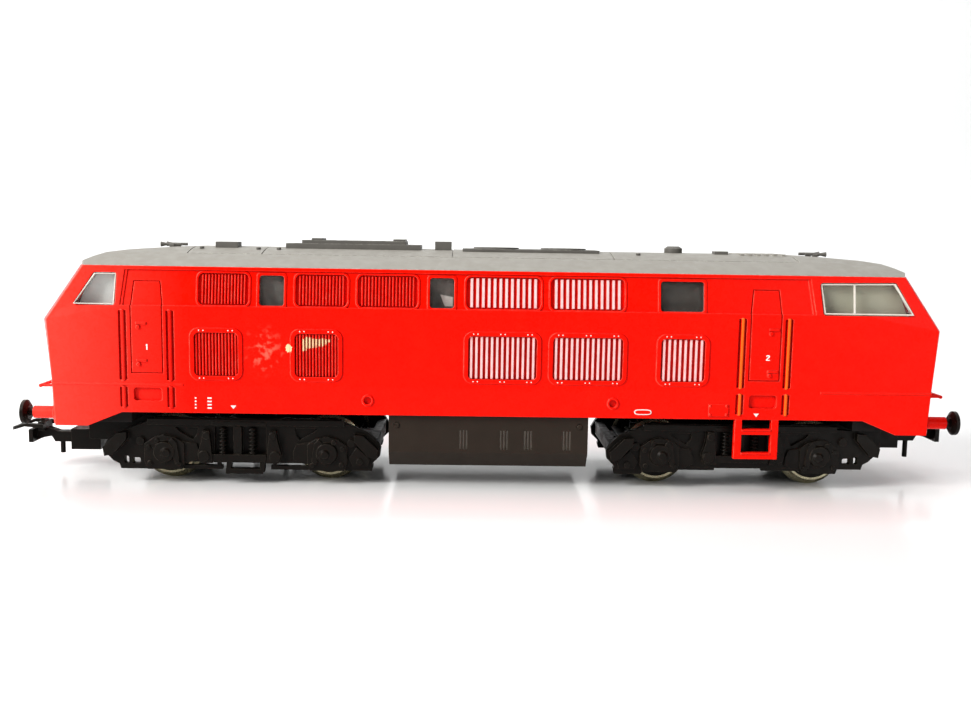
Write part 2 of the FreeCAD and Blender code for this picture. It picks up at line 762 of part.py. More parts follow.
def compound_gear():
    small = gear(teeth_small, module_low, small_phase, 2.75, 2.05, 0.8 + fit)
    big = gear(teeth_big, module_high, small_phase, 1.25, 1.5, 0.8 + fit)
    rims = []
    for k in range(5):
        a = math.radians(72 * k)
        rims.append(cyl(5.2 * math.cos(a), 1.0, 5.2 * math.sin(a), ACROSS, 1.1, 3))
    return join([without(big, rims), small])


def motor_pinion():
    phase = mesh_phase(big_r, small_phase, pinion_r, module_high, math.radians(90))
    return gear(teeth_pinion, module_high, phase, 1.25, 1.5, 0.75)


def idler_gear(side):
    return gear(teeth_idler, module_low, idler_phase(side), 3.1, 1.7, 0.8 + fit)


def axle_gear(side):
    return gear(teeth_axle, module_low, axle_gear_phase(side), 3.1, 1.7, axle_radius)


# ---------------------------------------------------------------- bogie frames
def end_outline(foot_z, reach):
    """Outline of one half of a side frame, from the top middle to the lower middle."""
    up = foot_z - 3.0
    return [(18.0, 13.3), (20.0, 12.4), (24.2, 10.9 + up), (reach - 1.0, 9.4 + up),
            (reach, 7.8 + up), (reach - 0.2, 6.1 + up), (reach - 1.7, 4.6 + up),
            (25.3, 4.0 + up), (25.0, foot_z), (19.8, foot_z), (19.2, 3.5), (12.6, 3.5),
            (12.0, 4.4)]


def foot_height(outer, end):
    return 4.3 if outer > 0 and end > 0 else 2.9


def side_outline(outer):
    right = end_outline(foot_height(outer, 1), 28.1 if outer > 0 else 26.8)
    left = end_outline(foot_height(outer, -1), 28.2 if outer < 0 else 26.8)
    return right + [(-x, z) for x, z in reversed(left)]


def facing(points, s, x=0.0, z=0.0):
    """Outline mirrored to face one end of the bogie and moved into place."""
    return [(x + s * px, z + pz) for px, pz in points]


def axlebox(xc, z, s):
    """Lumpy cast axlebox with its cover, bolts and a slanted cap."""
    body = prism_xz(facing([(-3.9, 4.9), (-3.4, 3.3), (3.4, 3.3), (4.0, 4.9), (3.9, 8.4),
                            (2.2, 9.6), (0.2, 10.2), (-2.4, 9.6), (-3.9, 8.5)], s, xc, z),
                    -14.5, -13.4)
    cover = cone(xc, -13.4, axle_z + z, V(0, -1, 0), 2.7, 2.0, 1.7)
    knob = cone(xc - 0.4 * s, -15.0, axle_z + z - 0.2, V(0, -1, 0), 1.2, 0.7, 0.5)
    rib = prism_xz(facing([(-3.0, 5.2), (-2.2, 4.4), (-0.9, 8.9), (-1.6, 9.7), (-2.5, 8.8)],
                          s, xc, z), -14.9, -14.3)
    parts = [body, cover, knob, rib]
    for dx, dz in ((-2.9, -2.4), (2.9, -2.3), (3.1, 0.9), (1.4, 2.2)):
        parts.append(cyl(xc + dx * s, -14.9, axle_z + z + dz, ACROSS, 0.45, 0.6))
    return parts


def side_frame(shift, outer):
    """Near side frame of a bogie. shift moves the spring group, outer is the end facing out."""
    lift = left_detail_lift if outer < 0 else right_detail_lift
    plate = prism_xz(side_outline(outer), -frame_out_y, -frame_in_y)
    beam = box(-19.5, 19.5, -14.2, -frame_out_y + 0.1, 11.9, 13.1)
    parts = [plate, beam]
    cuts = [box(shift - 5.1, shift + 5.1, -16, -12.75, 6.6 + lift, 12.0 + lift)]
    for s in (-1, 1):
        parts += axlebox(s * axle_half, lift * 0.6, s)
        arm = facing([(13.0, 8.7), (9.9, 8.2), (9.3, 6.6), (9.3, 5.1), (11.5, 4.3), (13.0, 4.2)], s)
        parts.append(prism_xz(arm, -14.1, -13.4))
        hollow = facing([(14.2, 11.4), (13.4, 10.6), (10.6, 9.0), (9.9, 9.9), (9.6, 11.3)], s)
        cuts.append(prism_xz(hollow, -15, -12.9))
        cuts.append(cyl(s * axle_half, -13.1, axle_z, ACROSS, stub_radius + fit, 0.9))
    frame = without(join(parts), cuts)
    extras = spring_surround(shift, lift, outer) + end_gear(outer)
    return frame.fuse(extras)


def spring_surround(shift, lift, outer):
    """Divider, hangers, plank and brake bars round the middle spring pair."""
    mid = shift - 0.5
    parts = [rounded(mid - 0.8, mid + 0.8, 6.2 + lift, 12.2 + lift, 0.3, -14.1, -12.4),
             box(shift - 5.5, shift + 5.3, -14.6, -13.0, 5.2 + lift, 6.6 + lift),
             box(shift - 5.5, shift + 5.3, -14.3, -13.0, 11.9, 12.7)]
    for s in (-1, 1):
        link = shift + s * 6.85
        blade = facing([(-1.5, 4.9), (0.9, 4.9), (1.5, 6.6), (0.7, 9.3), (0.4, 11.5), (-0.9, 11.3),
                        (-1.2, 8.4)], s, link, lift)
        parts.append(prism_xz(blade, -14.9, -13.2))
        parts.append(cyl(link + 0.2 * s, -15.2, 6.3 + lift, ACROSS, 1.05, 1.8))
        parts.append(cyl(link - 0.3 * s, -15.1, 10.4 + lift, ACROSS, 0.7, 1.8))
        parts.append(box(min(s * 4.8, s * 12.9), max(s * 4.8, s * 12.9), -13.5, -12.6,
                         3.4 + lift, 4.2 + lift))
        parts.append(box(min(s * 5.2, s * 5.9), max(s * 5.2, s * 5.9), -13.5, -12.6,
                         3.6 + lift, 5.6 + lift))
    if outer < 0:
        parts += [box(-4.1, 3.3, -14.3, -12.8, 2.2, 3.2),
                  prism_xz([(-4.1, 2.2), (-3.2, 2.2), (-2.8, 5.0), (-3.8, 5.0)], -14.3, -12.8),
                  prism_xz([(2.7, 2.2), (3.6, 2.6), (3.8, 5.0), (2.8, 5.0)], -14.3, -12.8)]
    return parts


def foot_bores(outer):
    """Two small openings through the foot at the outer end."""
    z = foot_height(outer, outer) + 1.05
    return [rounded(21.1, 22.7, z, z + 1.2, 0.35, -16, -11),
            rounded(23.4, 24.3, z, z + 1.5, 0.3, -16, -11)]


def end_gear(outer):
    """Slanted brackets, brake links and bosses at the two ends of a side frame."""
    parts = []
    for s in (-1, 1):
        out = 1.8 if s == outer else 0.0
        up = foot_height(outer, s) - 2.9
        bracket = facing([(26.3 + out, 7.5), (23.4 + out, 10.3), (21.6 + out, 10.5),
                          (21.6 + out, 9.1), (24.3 + out, 6.0), (26.0 + out, 5.7)], s, 0, up)
        parts.append(prism_xz(bracket, -15.2, -13.3))
        link = facing([(20.4, 5.6), (21.2, 4.0), (24.2, 4.0), (24.6, 5.4), (22.0, 7.8)], s, 0, up)
        if s != outer:
            parts.append(prism_xz(link, -14.2, -13.4))
            parts.append(cyl(s * 22.6, -14.6, 4.9 + up, ACROSS, 0.6, 1.4))
        parts.append(cyl(s * 20.9, -14.3, 8.6 + up, ACROSS, 0.8, 1.0))
    return parts


def end_beams(outer):
    """Cross members and the deep tongue that carries the coupling."""
    beams = [box(24.2, 26.0, -12.4, 12.4, 6.4, 9.0), box(-26.0, -24.2, -12.4, 12.4, 6.4, 9.0)]
    reach = (right_pin_x if outer > 0 else left_pin_x) - 2.2
    tongue = [box(20.5, 30.2, -5.0, 5.0, 7.0, 12.2), box(30.0, reach, -5.0, 5.0, 7.0, 11.6)]
    return beams + (tongue if outer > 0 else [mirrored_x(t) for t in tongue])


def axle_slots(y0, y1):
    cuts = []
    for s in (-1, 1):
        cuts.append(cyl(s * axle_half, y0, axle_z, ACROSS, axle_radius + fit, y1 - y0))
        cuts.append(box(s * axle_half - axle_radius - fit, s * axle_half + axle_radius + fit,
                        y0, y1, 2.0, axle_z))
    return cuts


def coupling_seat(outer, drop, pin_x):
    """Pocket for the coupling shank with its pin, at the end of the tongue."""
    x0 = pin_x - 2.6
    x1 = pin_x + 2.5
    z0 = 4.3 + drop
    z1 = 8.6 + drop
    block = box(x0, x1, -2.6, 2.6, z0, z1)
    riser = box(x0 - 1.0, x0 + 0.6, -2.6, 2.6, min(z0, 7.0), 11.6)
    mouth = box(x0 + 0.6, x1 + 1, -2.0, 2.0, z0 + 0.7, z1 - 0.6)
    part = join([block, riser]).cut(mouth)
    pin = cyl(pin_x, 0, z0 + 0.3, UP, 0.6, z1 - z0 - 0.6)
    part = part.fuse([pin])
    return part if outer > 0 else mirrored_x(part)


def bogie_sides(shift, outer):
    bores = foot_bores(outer)
    near = side_frame(shift, outer)
    near = without(near, bores if outer > 0 else [mirrored_x(b) for b in bores])
    return [near, mirrored_y(near)]


def trailing_frame():
    """Bogie frame of the left end, swinging on a collar round the chassis boss."""
    outer = -1
    spine = box(-21.5, 21.5, -6.2, 6.2, 3.5, 9.0)
    spine = spine.cut(box(-13.0, 13.0, -5.0, 5.0, 3.0, 7.6))
    collar = cyl(0, 0, 7.6, UP, 5.0, 6.2)
    bridge = box(-4.5, 4.5, -12.5, 12.5, 9.0, 12.6)
    web = box(-21.5, -19.5, -6.2, 6.2, 6.0, 9.0)
    ties = [box(-25.0, -20.5, -3.0, 3.0, 6.6, 8.6), box(20.5, 25.0, -3.0, 3.0, 6.6, 8.6)]
    parts = [spine, collar, bridge, web] + ties + end_beams(outer) + [coupling_seat(outer, 0.0, left_pin_x)]
    frame = join(parts + bogie_sides(-1.2, outer))
    cuts = axle_slots(-7, 7)
    cuts.append(cyl(0, 0, 9.0, UP, 3.0 + fit, 6.0))
    cuts.append(cyl(0, 0, 6.0, UP, 1.5, 6.0))
    return without(frame, cuts)


def pivot_screw():
    """Shouldered screw that holds the trailing bogie up to the chassis."""
    shank = cyl(0, 0, 9.0, UP, 1.18, 5.4)
    head = cyl(0, 0, 6.3, UP, 2.6, 1.0)
    neck = cyl(0, 0, 6.8, UP, 1.2, 2.5)
    slot = box(-3, 3, -0.3, 0.3, 6.0, 6.8)
    return join([shank, head, neck]).cut(slot)


def keeper_plate(powered):
    """Clip-on bottom cover that holds the axles in their slots."""
    plate = box(-21.3, 21.3, -6.0, 6.0, 2.6, 3.4)
    cuts = [cyl(0, 0, 2, UP, 3.4, 2)] if not powered else []
    if powered:
        for s in (-1, 1):
            cuts.append(box(s * axle_half - 5.4, s * axle_half + 5.4, 2.7, 5.15, 2.0, 4.0))
    screws = [cyl(s * 9.5, 0, 2.4, UP, 1.1, 0.5) for s in (-1, 1)]
    return without(join([plate] + screws), cuts) if cuts else join([plate] + screws)


def pickup_contacts():
    """Thin bronze wipers lying along the backs of the trailing wheels."""
    strips = []
    for side in (-1, 1):
        y0 = side * 6.5
        y1 = side * 6.75
        bar = box(-18.5, 18.5, min(y0, y1), max(y0, y1), 8.2, 8.8)
        pads = [box(s * 17.2 - 0.8, s * 17.2 + 0.8, min(y0, y1), max(y0, y1), 8.0, 10.2)
                for s in (-1, 1)]
        foot = box(-1.5, 1.5, min(side * 6.2, y1), max(side * 6.2, y1), 8.2, 8.8)
        strips.append(join([bar] + pads + [foot]))
    return Part.makeCompound(strips)


def bogie_springs(shift, lift):
    """Four coil springs, two in each side frame."""
    springs = []
    for side in (-1, 1):
        for s in (-1, 1):
            x = shift - 0.5 + s * 2.95
            y = side * 13.85
            low = 6.6 + lift
            high = 11.9 + min(lift, 0.0)
            core = cyl(x, y, low, UP, 0.42, high - low)
            pitch = (high - low - 0.6) / 6
            coils = [Part.makeTorus(0.6, 0.21, V(x, y, low + 0.3 + pitch * k), UP) for k in range(7)]
            springs.append(join([core] + coils))
    return Part.makeCompound(springs)


def driven_frame():
    """Bogie frame of the right end with the gear case and motor bracket."""
    outer = 1
    gear_plate = prism_xz([(-21.0, 3.5), (21.0, 3.5), (21.0, 9.3), (11.4, 17.0), (4.0, 21.5),
                           (-4.0, 21.5), (-11.4, 17.0), (-21.0, 9.3)], 5.2, 6.2)
    motor_plate = prism_xz([(-21.0, 3.5), (21.0, 3.5), (21.0, 9.0), (9.6, 17.0), (9.6, 35.6),
                            (-9.6, 35.6), (-9.6, 17.0), (-21.0, 9.0)], -0.3, 0.9)
    low_plate = box(-21.0, 21.0, -6.2, -5.0, 3.5, 12.0)
    links = []
    for s in (-1, 1):
        links.append(box(s * 21.2 - 2.0, s * 21.2 + 2.0, -6.2, 6.2, 6.0, 9.0))
        links.append(box(s * 4.0 - 1.2, s * 4.0 + 1.2, -6.0, 0.0, 9.0, 12.0))
    bridge = [box(-4.5, 4.5, -12.5, -5.0, 9.0, 12.6), box(-4.5, 4.5, 5.4, 12.5, 9.0, 12.6)]
    ties = [box(-25.0, -20.5, -3.0, 3.0, 6.6, 8.6), box(20.5, 25.0, -3.0, 3.0, 6.6, 8.6)]
    pins = [cyl(0, 0.5, axle_z + compound_up, ACROSS, 0.8, 5.0)]
    for s in (-1, 1):
        pins.append(cyl(s * idler_x, 2.95, axle_z + idler_up, ACROSS, 0.8, 2.5))
    pivot = [cyl(0, 0, 35.2, UP, 2.0, 3.8), cyl(0, 0, 35.3, UP, 3.2, 0.9)]
    parts = [motor_plate, gear_plate, low_plate] + links + bridge + ties + pins + pivot
    parts += end_beams(outer) + [coupling_seat(outer, 2.4, right_pin_x)]
    frame = join(parts + bogie_sides(0.6, outer))
    cuts = axle_slots(-7, 7)
    cuts += [cyl(s * axle_half, 2.7, axle_z, ACROSS, 5.4, 2.5) for s in (-1, 1)]
    cuts.append(cyl(0, -1.0, axle_z + motor_up, ACROSS, 0.75 + fit, 2.2))
    return without(frame, cuts)


def motor_housing():
    """Round motor can with its brush cover, bolted to the motor bracket."""
    z = axle_z + motor_up
    can = cyl(0, -8.8, z, ACROSS, 9.2, 8.5)
    hollow = cyl(0, -7.8, z, ACROSS, 8.2, 7.5 + 0.01)
    cover = cyl(0, -9.6, z, ACROSS, 6.0, 1.0)
    bush = cyl(0, -10, z, ACROSS, 0.75 + fit, 3.0)
    brushes = [box(s * 4.4 - 1.0, s * 4.4 + 1.0, -10.0, -9.4, z - 0.8, z + 0.8) for s in (-1, 1)]
    part = join([can, cover] + brushes)
    return without(part, [hollow, bush])


def field_magnet():
    """Two curved magnets inside the motor can."""
    z = axle_z + motor_up
    ring = cyl(0, -7.4, z, ACROSS, 8.19, 6.2).cut(cyl(0, -9, z, ACROSS, 6.6, 9))
    gap = box(-2.0, 2.0, -10, 2, z - 10, z + 10)
    return ring.cut(gap)


def armature():
    """Three-pole armature with commutator and shaft."""
    z = 0.0
    shaft = cyl(0, -9.5, z, ACROSS, 0.75, 12.9)
    core = cyl(0, -6.4, z, ACROSS, 2.4, 4.4)
    poles = []
    for k in range(3):
        pole = join([box(-1.0, 1.0, -6.4, -2.0, 1.5, 5.4), box(-3.6, 3.6, -6.4, -2.0, 4.6, 6.6)])
        pole = pole.common(cyl(0, -8, 0, ACROSS, 6.2, 8))
        pole.rotate(V(0, 0, 0), ACROSS, 120 * k)
        poles.append(pole)
    commutator = cyl(0, -7.6, z, ACROSS, 1.8, 1.3)
    return join([shaft, core, commutator] + poles)


# ---------------------------------------------------------------- couplings
def coupling_bar(drop, lugged):
    """Shank, claw and trip pin. Local origin is the swing pin of the coupling."""
    z0 = 5.6 + drop
    z1 = 7.8 + drop
    shank = box(-1.5, 6.0, -1.1, 1.1, z0, z1)
    eye = cyl(0, 0, z0, UP, 1.6, z1 - z0)
    claw = prism_xz([(5.8, z0), (6.4, z0), (7.1, z0 + 1.2), (8.6, z0 + 0.9), (11.05, z0),
                     (11.05, z0 + 2.9), (9.8, z0 + 3.3), (7.6, z1 + 0.6), (5.8, z1)], -1.1, 1.1)
    front = box(10.2, 11.05, -3.2, 3.2, z0 + 0.2, z0 + 2.9)
    trip = cyl(5.2, 0, 3.1 + 0.5 * drop, UP, 0.5, 3.2 + 0.5 * drop)
    parts = [shank, eye, claw, front, trip]
    holes = [cyl(0, 0, 0, UP, 0.6 + fit, 14)]
    if lugged:
        parts += [box(8.1, 9.5, -2.15, 2.15, 8.0, 9.9), box(8.4, 9.3, -0.9, 0.9, 9.8, 10.6)]
        holes.append(cyl(loop_pin_x, -4, loop_pin_z, ACROSS, 0.3 + fit, 8))
    return without(join(parts), holes)


loop_pin_x = 8.6            # hinge of the loop, outward from the swing pin
loop_pin_z = 9.2


def half_oval(straight, half_width, reach, count):
    """Plan outline, square at the hinge and oval at the far end."""
    points = [(-0.7, -half_width), (straight, -half_width)]
    for k in range(1, count):
        a = math.radians(-90 + 180.0 * k / count)
        points.append((straight + (reach - straight) * math.cos(a), half_width * math.sin(a)))
    return points + [(straight, half_width), (-0.7, half_width)]


def plan_prism(points, z0, z1):
    wire = Part.makePolygon([V(x, y, z0) for x, y in points + points[:1]])
    return Part.Face(wire).extrude(V(0, 0, z1 - z0))


def coupling_loop():
    """Flat rounded loop that drops over the hook of the next vehicle."""
    ring = plan_prism(half_oval(3.0, 3.4, 6.8, 12), -3, 3)
    inside = [(x - 0.5, y) for x, y in half_oval(3.4, 2.35, 6.2, 12)]
    ring = ring.cut(plan_prism(inside, -4, 4))
    slab = prism_xz([(-0.7, -0.4), (3.2, -0.05), (6.9, -1.3), (6.9, -0.65), (3.2, 0.6),
                     (-0.7, 0.4)], -5, 5)
    pivot = cyl(0, -2.9, 0, ACROSS, 0.3, 5.8)
    return moved(join([ring.common(slab), pivot]), loop_pin_x, 0, loop_pin_z)


# ---------------------------------------------------------------- write parts
near_glass = side_glazing()
save(body_shell(), "body_shell")
save(roof_shell(), "roof_shell")
save(exhaust_housing(), "exhaust_housing")
save(fan_grille(), "fan_grille")
save(roof_fittings(), "roof_fittings")
save(roof_horns(), "roof_horns")
save(cab_glazing(-1), "cab_glazing_left")
save(cab_glazing(1), "cab_glazing_right")
save(near_glass, "side_glazing_near")
save(mirrored_y(near_glass), "side_glazing_far")
save(lamp_lenses(-1), "lamp_lenses_left")
save(lamp_lenses(1), "lamp_lenses_right")
save(front_handrail(-1), "front_handrail_left")
save(front_handrail(1), "front_handrail_right")
save(ladder(-1), "ladder_near")
save(ladder(1), "ladder_far")
save(chassis_frame(), "chassis_frame")
save(ballast_weight(), "ballast_weight")
save(rear_weight(), "rear_weight")
save(fuel_tank(), "fuel_tank")
save(tank_screws(), "tank_screws")

for end, end_name in ((-1, "left"), (1, "right")):
    for y, side_name in ((-buffer_y, "near"), (buffer_y, "far")):
        save(buffer_head(end, y), "buffer_" + end_name + "_" + side_name)

wheelsets = [("outer_left", -pivot_x - axle_half, False), ("inner_left", -pivot_x + axle_half, False),
             ("inner_right", pivot_x - axle_half, False), ("outer_right", pivot_x + axle_half, True)]
for name, x, tyred in wheelsets:
    save(moved(plain_axle(), x, 0, axle_z), "axle_" + name)
    save(moved(wheel_rims(tyred), x, 0, axle_z), "rims_" + name)
    save(moved(wheel_centres(), x, 0, axle_z), "centres_" + name)
    if tyred:
        save(moved(traction_tyres(), x, 0, axle_z), "traction_tyres")

save(moved(trailing_frame(), -pivot_x), "trailing_frame")
save(moved(bogie_springs(-1.2, left_detail_lift), -pivot_x), "trailing_springs")
save(moved(keeper_plate(False), -pivot_x), "trailing_keeper")
save(moved(pickup_contacts(), -pivot_x), "pickup_contacts")
save(moved(pivot_screw(), -pivot_x), "pivot_screw")
save(moved(driven_frame(), pivot_x), "driven_frame")
save(moved(bogie_springs(0.6, right_detail_lift), pivot_x), "driven_springs")
save(moved(keeper_plate(True), pivot_x), "driven_keeper")
save(moved(motor_housing(), pivot_x), "motor_housing")
save(moved(field_magnet(), pivot_x), "field_magnet")
save(moved(armature(), pivot_x, 0, axle_z + motor_up), "armature")
save(moved(motor_pinion(), pivot_x, 0, axle_z + motor_up), "motor_pinion")
save(moved(compound_gear(), pivot_x, 0, axle_z + compound_up), "compound_gear")
save(moved(idler_gear(-1), pivot_x - idler_x, 0, axle_z + idler_up), "idler_gear_inner")
save(moved(idler_gear(1), pivot_x + idler_x, 0, axle_z + idler_up), "idler_gear_outer")
save(moved(axle_gear(-1), pivot_x - axle_half, 0, axle_z), "axle_gear_inner")
save(moved(axle_gear(1), pivot_x + axle_half, 0, axle_z), "axle_gear_outer")

save(moved(mirrored_x(coupling_bar(0.0, True)), -pivot_x - left_pin_x), "coupling_left")
save(moved(mirrored_x(coupling_loop()), -pivot_x - left_pin_x), "coupling_loop")
save(moved(coupling_bar(2.4, False), pivot_x + right_pin_x), "coupling_right")
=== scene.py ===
import json
import math

import bmesh
import bpy
from mathutils import Matrix, Vector


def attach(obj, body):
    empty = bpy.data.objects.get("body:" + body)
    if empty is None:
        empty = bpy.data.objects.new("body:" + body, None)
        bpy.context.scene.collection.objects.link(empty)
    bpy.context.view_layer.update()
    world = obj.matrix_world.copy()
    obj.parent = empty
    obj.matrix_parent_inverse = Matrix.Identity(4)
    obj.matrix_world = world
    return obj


MM = 0.001
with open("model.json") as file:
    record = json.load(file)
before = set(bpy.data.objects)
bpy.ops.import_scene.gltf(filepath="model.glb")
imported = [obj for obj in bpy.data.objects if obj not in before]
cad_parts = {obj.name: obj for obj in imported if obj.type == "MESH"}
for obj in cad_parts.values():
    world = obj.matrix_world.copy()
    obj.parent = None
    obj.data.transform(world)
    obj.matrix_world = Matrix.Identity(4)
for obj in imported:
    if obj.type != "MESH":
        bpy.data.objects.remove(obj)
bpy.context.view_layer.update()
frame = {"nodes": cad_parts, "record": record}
scene = bpy.context.scene
nodes = frame["nodes"]

# places on the locomotive, in millimetres, X along it and Z up
SIDE_Y = 17.9                           # flat side of the body, from the middle
WAIST_Z = 35.8                          # where the window band starts to lean inwards
BAND_TILT = math.atan2(1.3, 7.6)        # lean of the window band
LOW_LOUVRES = [(-59.3, -49.1), (-39.9, -29.8), (-6.3, 8.8), (10.2, 25.6), (31.3, 41.7)]
LOW_LOUVRE_Z = (21.5, 31.7)
# grilles with a painted pale pink reflection on their slats: first x, last x, number of slats, margin,
# lowest z, highest z
PAINTED_REFLECTION_GRILLES = [(-5.9, 8.6, 12, 0.5, 36.3, 42.0), (10.5, 24.9, 12, 0.5, 36.3, 42.0),
                (-5.4, 7.9, 13, 0.1, 22.5, 30.7), (11.1, 24.7, 13, 0.1, 22.5, 30.7),
                (32.2, 40.8, 8, 0.1, 22.5, 30.7)]
SLAT_SHARE = (0.20, 0.74)               # part of each pitch that the face of a slat takes up
WINDOWS = [(-45.9, -41.15), (-13.0, -8.3), (31.9, 40.4)]
WINDOW_Z = (36.1, 41.9)
PANEL_Y = (14.6, 14.2)                  # front and back of the panels behind the windows
FRAME_DEPTH = (0.25, 0.7)               # front and back of the cab window frames, in from the band
DOOR_RAILS = ((47.4, 48.7), (56.4, 57.7))
RAIL_Z = (15.9, 35.2)
RAIL_Y = 17.97                          # the door rails stand out beyond this
CHIP_X = (-37.6, -32.0)
FLECK = (-40.2, -SIDE_Y, 27.9)
SMUDGE = (-45.0, -SIDE_Y, 27.4)
SMUDGE_SIZE = (4.6, 2.0, 5.4)
TANK_GROOVES = [(0, -7.2, 15.4), (1, 15.9, 16.46), (2, 8.1, 12.1)]    # limits along X, Y and Z


# ---------------------------------------------------------------- node helpers
def new_material(name):
    mat = bpy.data.materials.new(name)
    mat.use_nodes = True
    tree = mat.node_tree
    tree.nodes.clear()
    out = tree.nodes.new("ShaderNodeOutputMaterial")
    shader = tree.nodes.new("ShaderNodeBsdfPrincipled")
    tree.links.new(shader.outputs[0], out.inputs[0])
    return mat, tree, shader


def coords(tree):
    """Position in the object's own frame, in millimetres."""
    source = tree.nodes.new("ShaderNodeTexCoord")
    scale = tree.nodes.new("ShaderNodeVectorMath")
    scale.operation = "SCALE"
    scale.inputs["Scale"].default_value = 1000.0
    tree.links.new(source.outputs["Object"], scale.inputs[0])
    return scale.outputs[0]


def noise(tree, vector, scale, detail=3.0, rough=0.5):
    node = tree.nodes.new("ShaderNodeTexNoise")
    node.inputs["Scale"].default_value = scale
    node.inputs["Detail"].default_value = detail
    node.inputs["Roughness"].default_value = rough
    tree.links.new(vector, node.inputs["Vector"])
    return node.outputs["Fac"]


def spread(tree, value, low, high, out_low=0.0, out_high=1.0):
    node = tree.nodes.new("ShaderNodeMapRange")
    node.inputs["From Min"].default_value = low
    node.inputs["From Max"].default_value = high
    node.inputs["To Min"].default_value = out_low
    node.inputs["To Max"].default_value = out_high
    tree.links.new(value, node.inputs["Value"])
    return node.outputs[0]


def math_node(tree, op, a, b=0.0):
    node = tree.nodes.new("ShaderNodeMath")
    node.operation = op
    for socket, value in zip(node.inputs, (a, b)):
        if isinstance(value, (int, float)):
            socket.default_value = value
        else:
            tree.links.new(value, socket)
    return node.outputs[0]


def product(tree, *values):
    """All the values multiplied together."""
    total = values[0]
    for value in values[1:]:
        total = math_node(tree, "MULTIPLY", total, value)
    return total


def blend_colour(tree, factor, first, second):
    node = tree.nodes.new("ShaderNodeMix")
    node.data_type = "RGBA"
    tree.links.new(factor, node.inputs["Factor"])
    for socket, value in ((node.inputs["A"], first), (node.inputs["B"], second)):
        if isinstance(value, tuple):
            socket.default_value = (*value, 1.0)
        else:
            tree.links.new(value, socket)
    return node.outputs["Result"]


def rounded_edges(tree, radius, flat):
    """Normal that rounds the edges off, and a mask that is one along the edges."""
    geometry = tree.nodes.new("ShaderNodeNewGeometry")
    plain = geometry.outputs["True Normal" if flat else "Normal"]
    rounded = tree.nodes.new("ShaderNodeBevel")
    rounded.samples = 4
    rounded.inputs["Radius"].default_value = radius * MM
    tree.links.new(plain, rounded.inputs["Normal"])
    same = tree.nodes.new("ShaderNodeVectorMath")
    same.operation = "DOT_PRODUCT"
    tree.links.new(rounded.outputs[0], same.inputs[0])
    tree.links.new(plain, same.inputs[1])
    return rounded.outputs[0], spread(tree, same.outputs["Value"], 0.985, 0.85)


def crevices(tree, reach):
    """One deep in the corners and grooves, nothing on open surfaces."""
    node = tree.nodes.new("ShaderNodeAmbientOcclusion")
    node.samples = 6
    node.inputs["Distance"].default_value = reach * MM
    return spread(tree, node.outputs["AO"], 0.85, 0.35)


def bumped(tree, shader, height, strength, distance, rounded=None):
    """Fine surface relief, laid over the rounded edges when they are given."""
    node = tree.nodes.new("ShaderNodeBump")
    if rounded is not None:
        tree.links.new(rounded, node.inputs["Normal"])
    node.inputs["Strength"].default_value = strength
    node.inputs["Distance"].default_value = distance
    tree.links.new(height, node.inputs["Height"])
    tree.links.new(node.outputs[0], shader.inputs["Normal"])


def split_xyz(tree, vector):
    node = tree.nodes.new("ShaderNodeSeparateXYZ")
    tree.links.new(vector, node.inputs[0])
    return node.outputs


def within(tree, axes, limits):
    """One inside a box given as (axis, low, high) limits, nothing outside it."""
    total = 1.0
    for axis, low, high in limits:
        above = math_node(tree, "GREATER_THAN", axes[axis], low)
        below = math_node(tree, "LESS_THAN", axes[axis], high)
        total = product(tree, above, below, total)
    return total


def ball_distance(tree, vector, centre, radii):
    """Distance from the centre of an ellipsoid: nothing at the centre, one on its surface."""
    shift = tree.nodes.new("ShaderNodeVectorMath")
    shift.operation = "SUBTRACT"
    shift.inputs[1].default_value = centre
    tree.links.new(vector, shift.inputs[0])
    shrink = tree.nodes.new("ShaderNodeVectorMath")
    shrink.operation = "DIVIDE"
    shrink.inputs[1].default_value = radii
    tree.links.new(shift.outputs[0], shrink.inputs[0])
    length = tree.nodes.new("ShaderNodeVectorMath")
    length.operation = "LENGTH"
    tree.links.new(shrink.outputs[0], length.inputs[0])
    return length.outputs["Value"]


# ---------------------------------------------------------------- materials
def painted_slat_reflection(tree, axes):
    """One on the faces of the slats in five of the grilles, where a pale pink reflection is painted."""
    total = 0.0
    for x0, x1, count, margin, z0, z1 in PAINTED_REFLECTION_GRILLES:
        first, last = x0 + margin, x1 - margin
        pitch = (x1 - x0 - 2 * margin) / count
        step = math_node(tree, "DIVIDE", math_node(tree, "SUBTRACT", axes[0], first), pitch)
        share = math_node(tree, "FRACT", step)
        face = within(tree, {0: share, 2: axes[2]}, [(0, *SLAT_SHARE), (2, z0, z1)])
        slat = product(tree, face, within(tree, axes, [(0, first, last)]))
        total = math_node(tree, "MAXIMUM", slat, total)
    return total


def painted_rail_highlight(tree, axes):
    """One on the two rails of the right-hand door, where an orange highlight is painted."""
    total = 0.0
    for x0, x1 in DOOR_RAILS:
        rail = within(tree, axes, [(0, x0, x1), (2, *RAIL_Z)])
        total = math_node(tree, "MAXIMUM", rail, total)
    outer = math_node(tree, "GREATER_THAN", math_node(tree, "ABSOLUTE", axes[1]), RAIL_Y)
    return product(tree, total, outer)


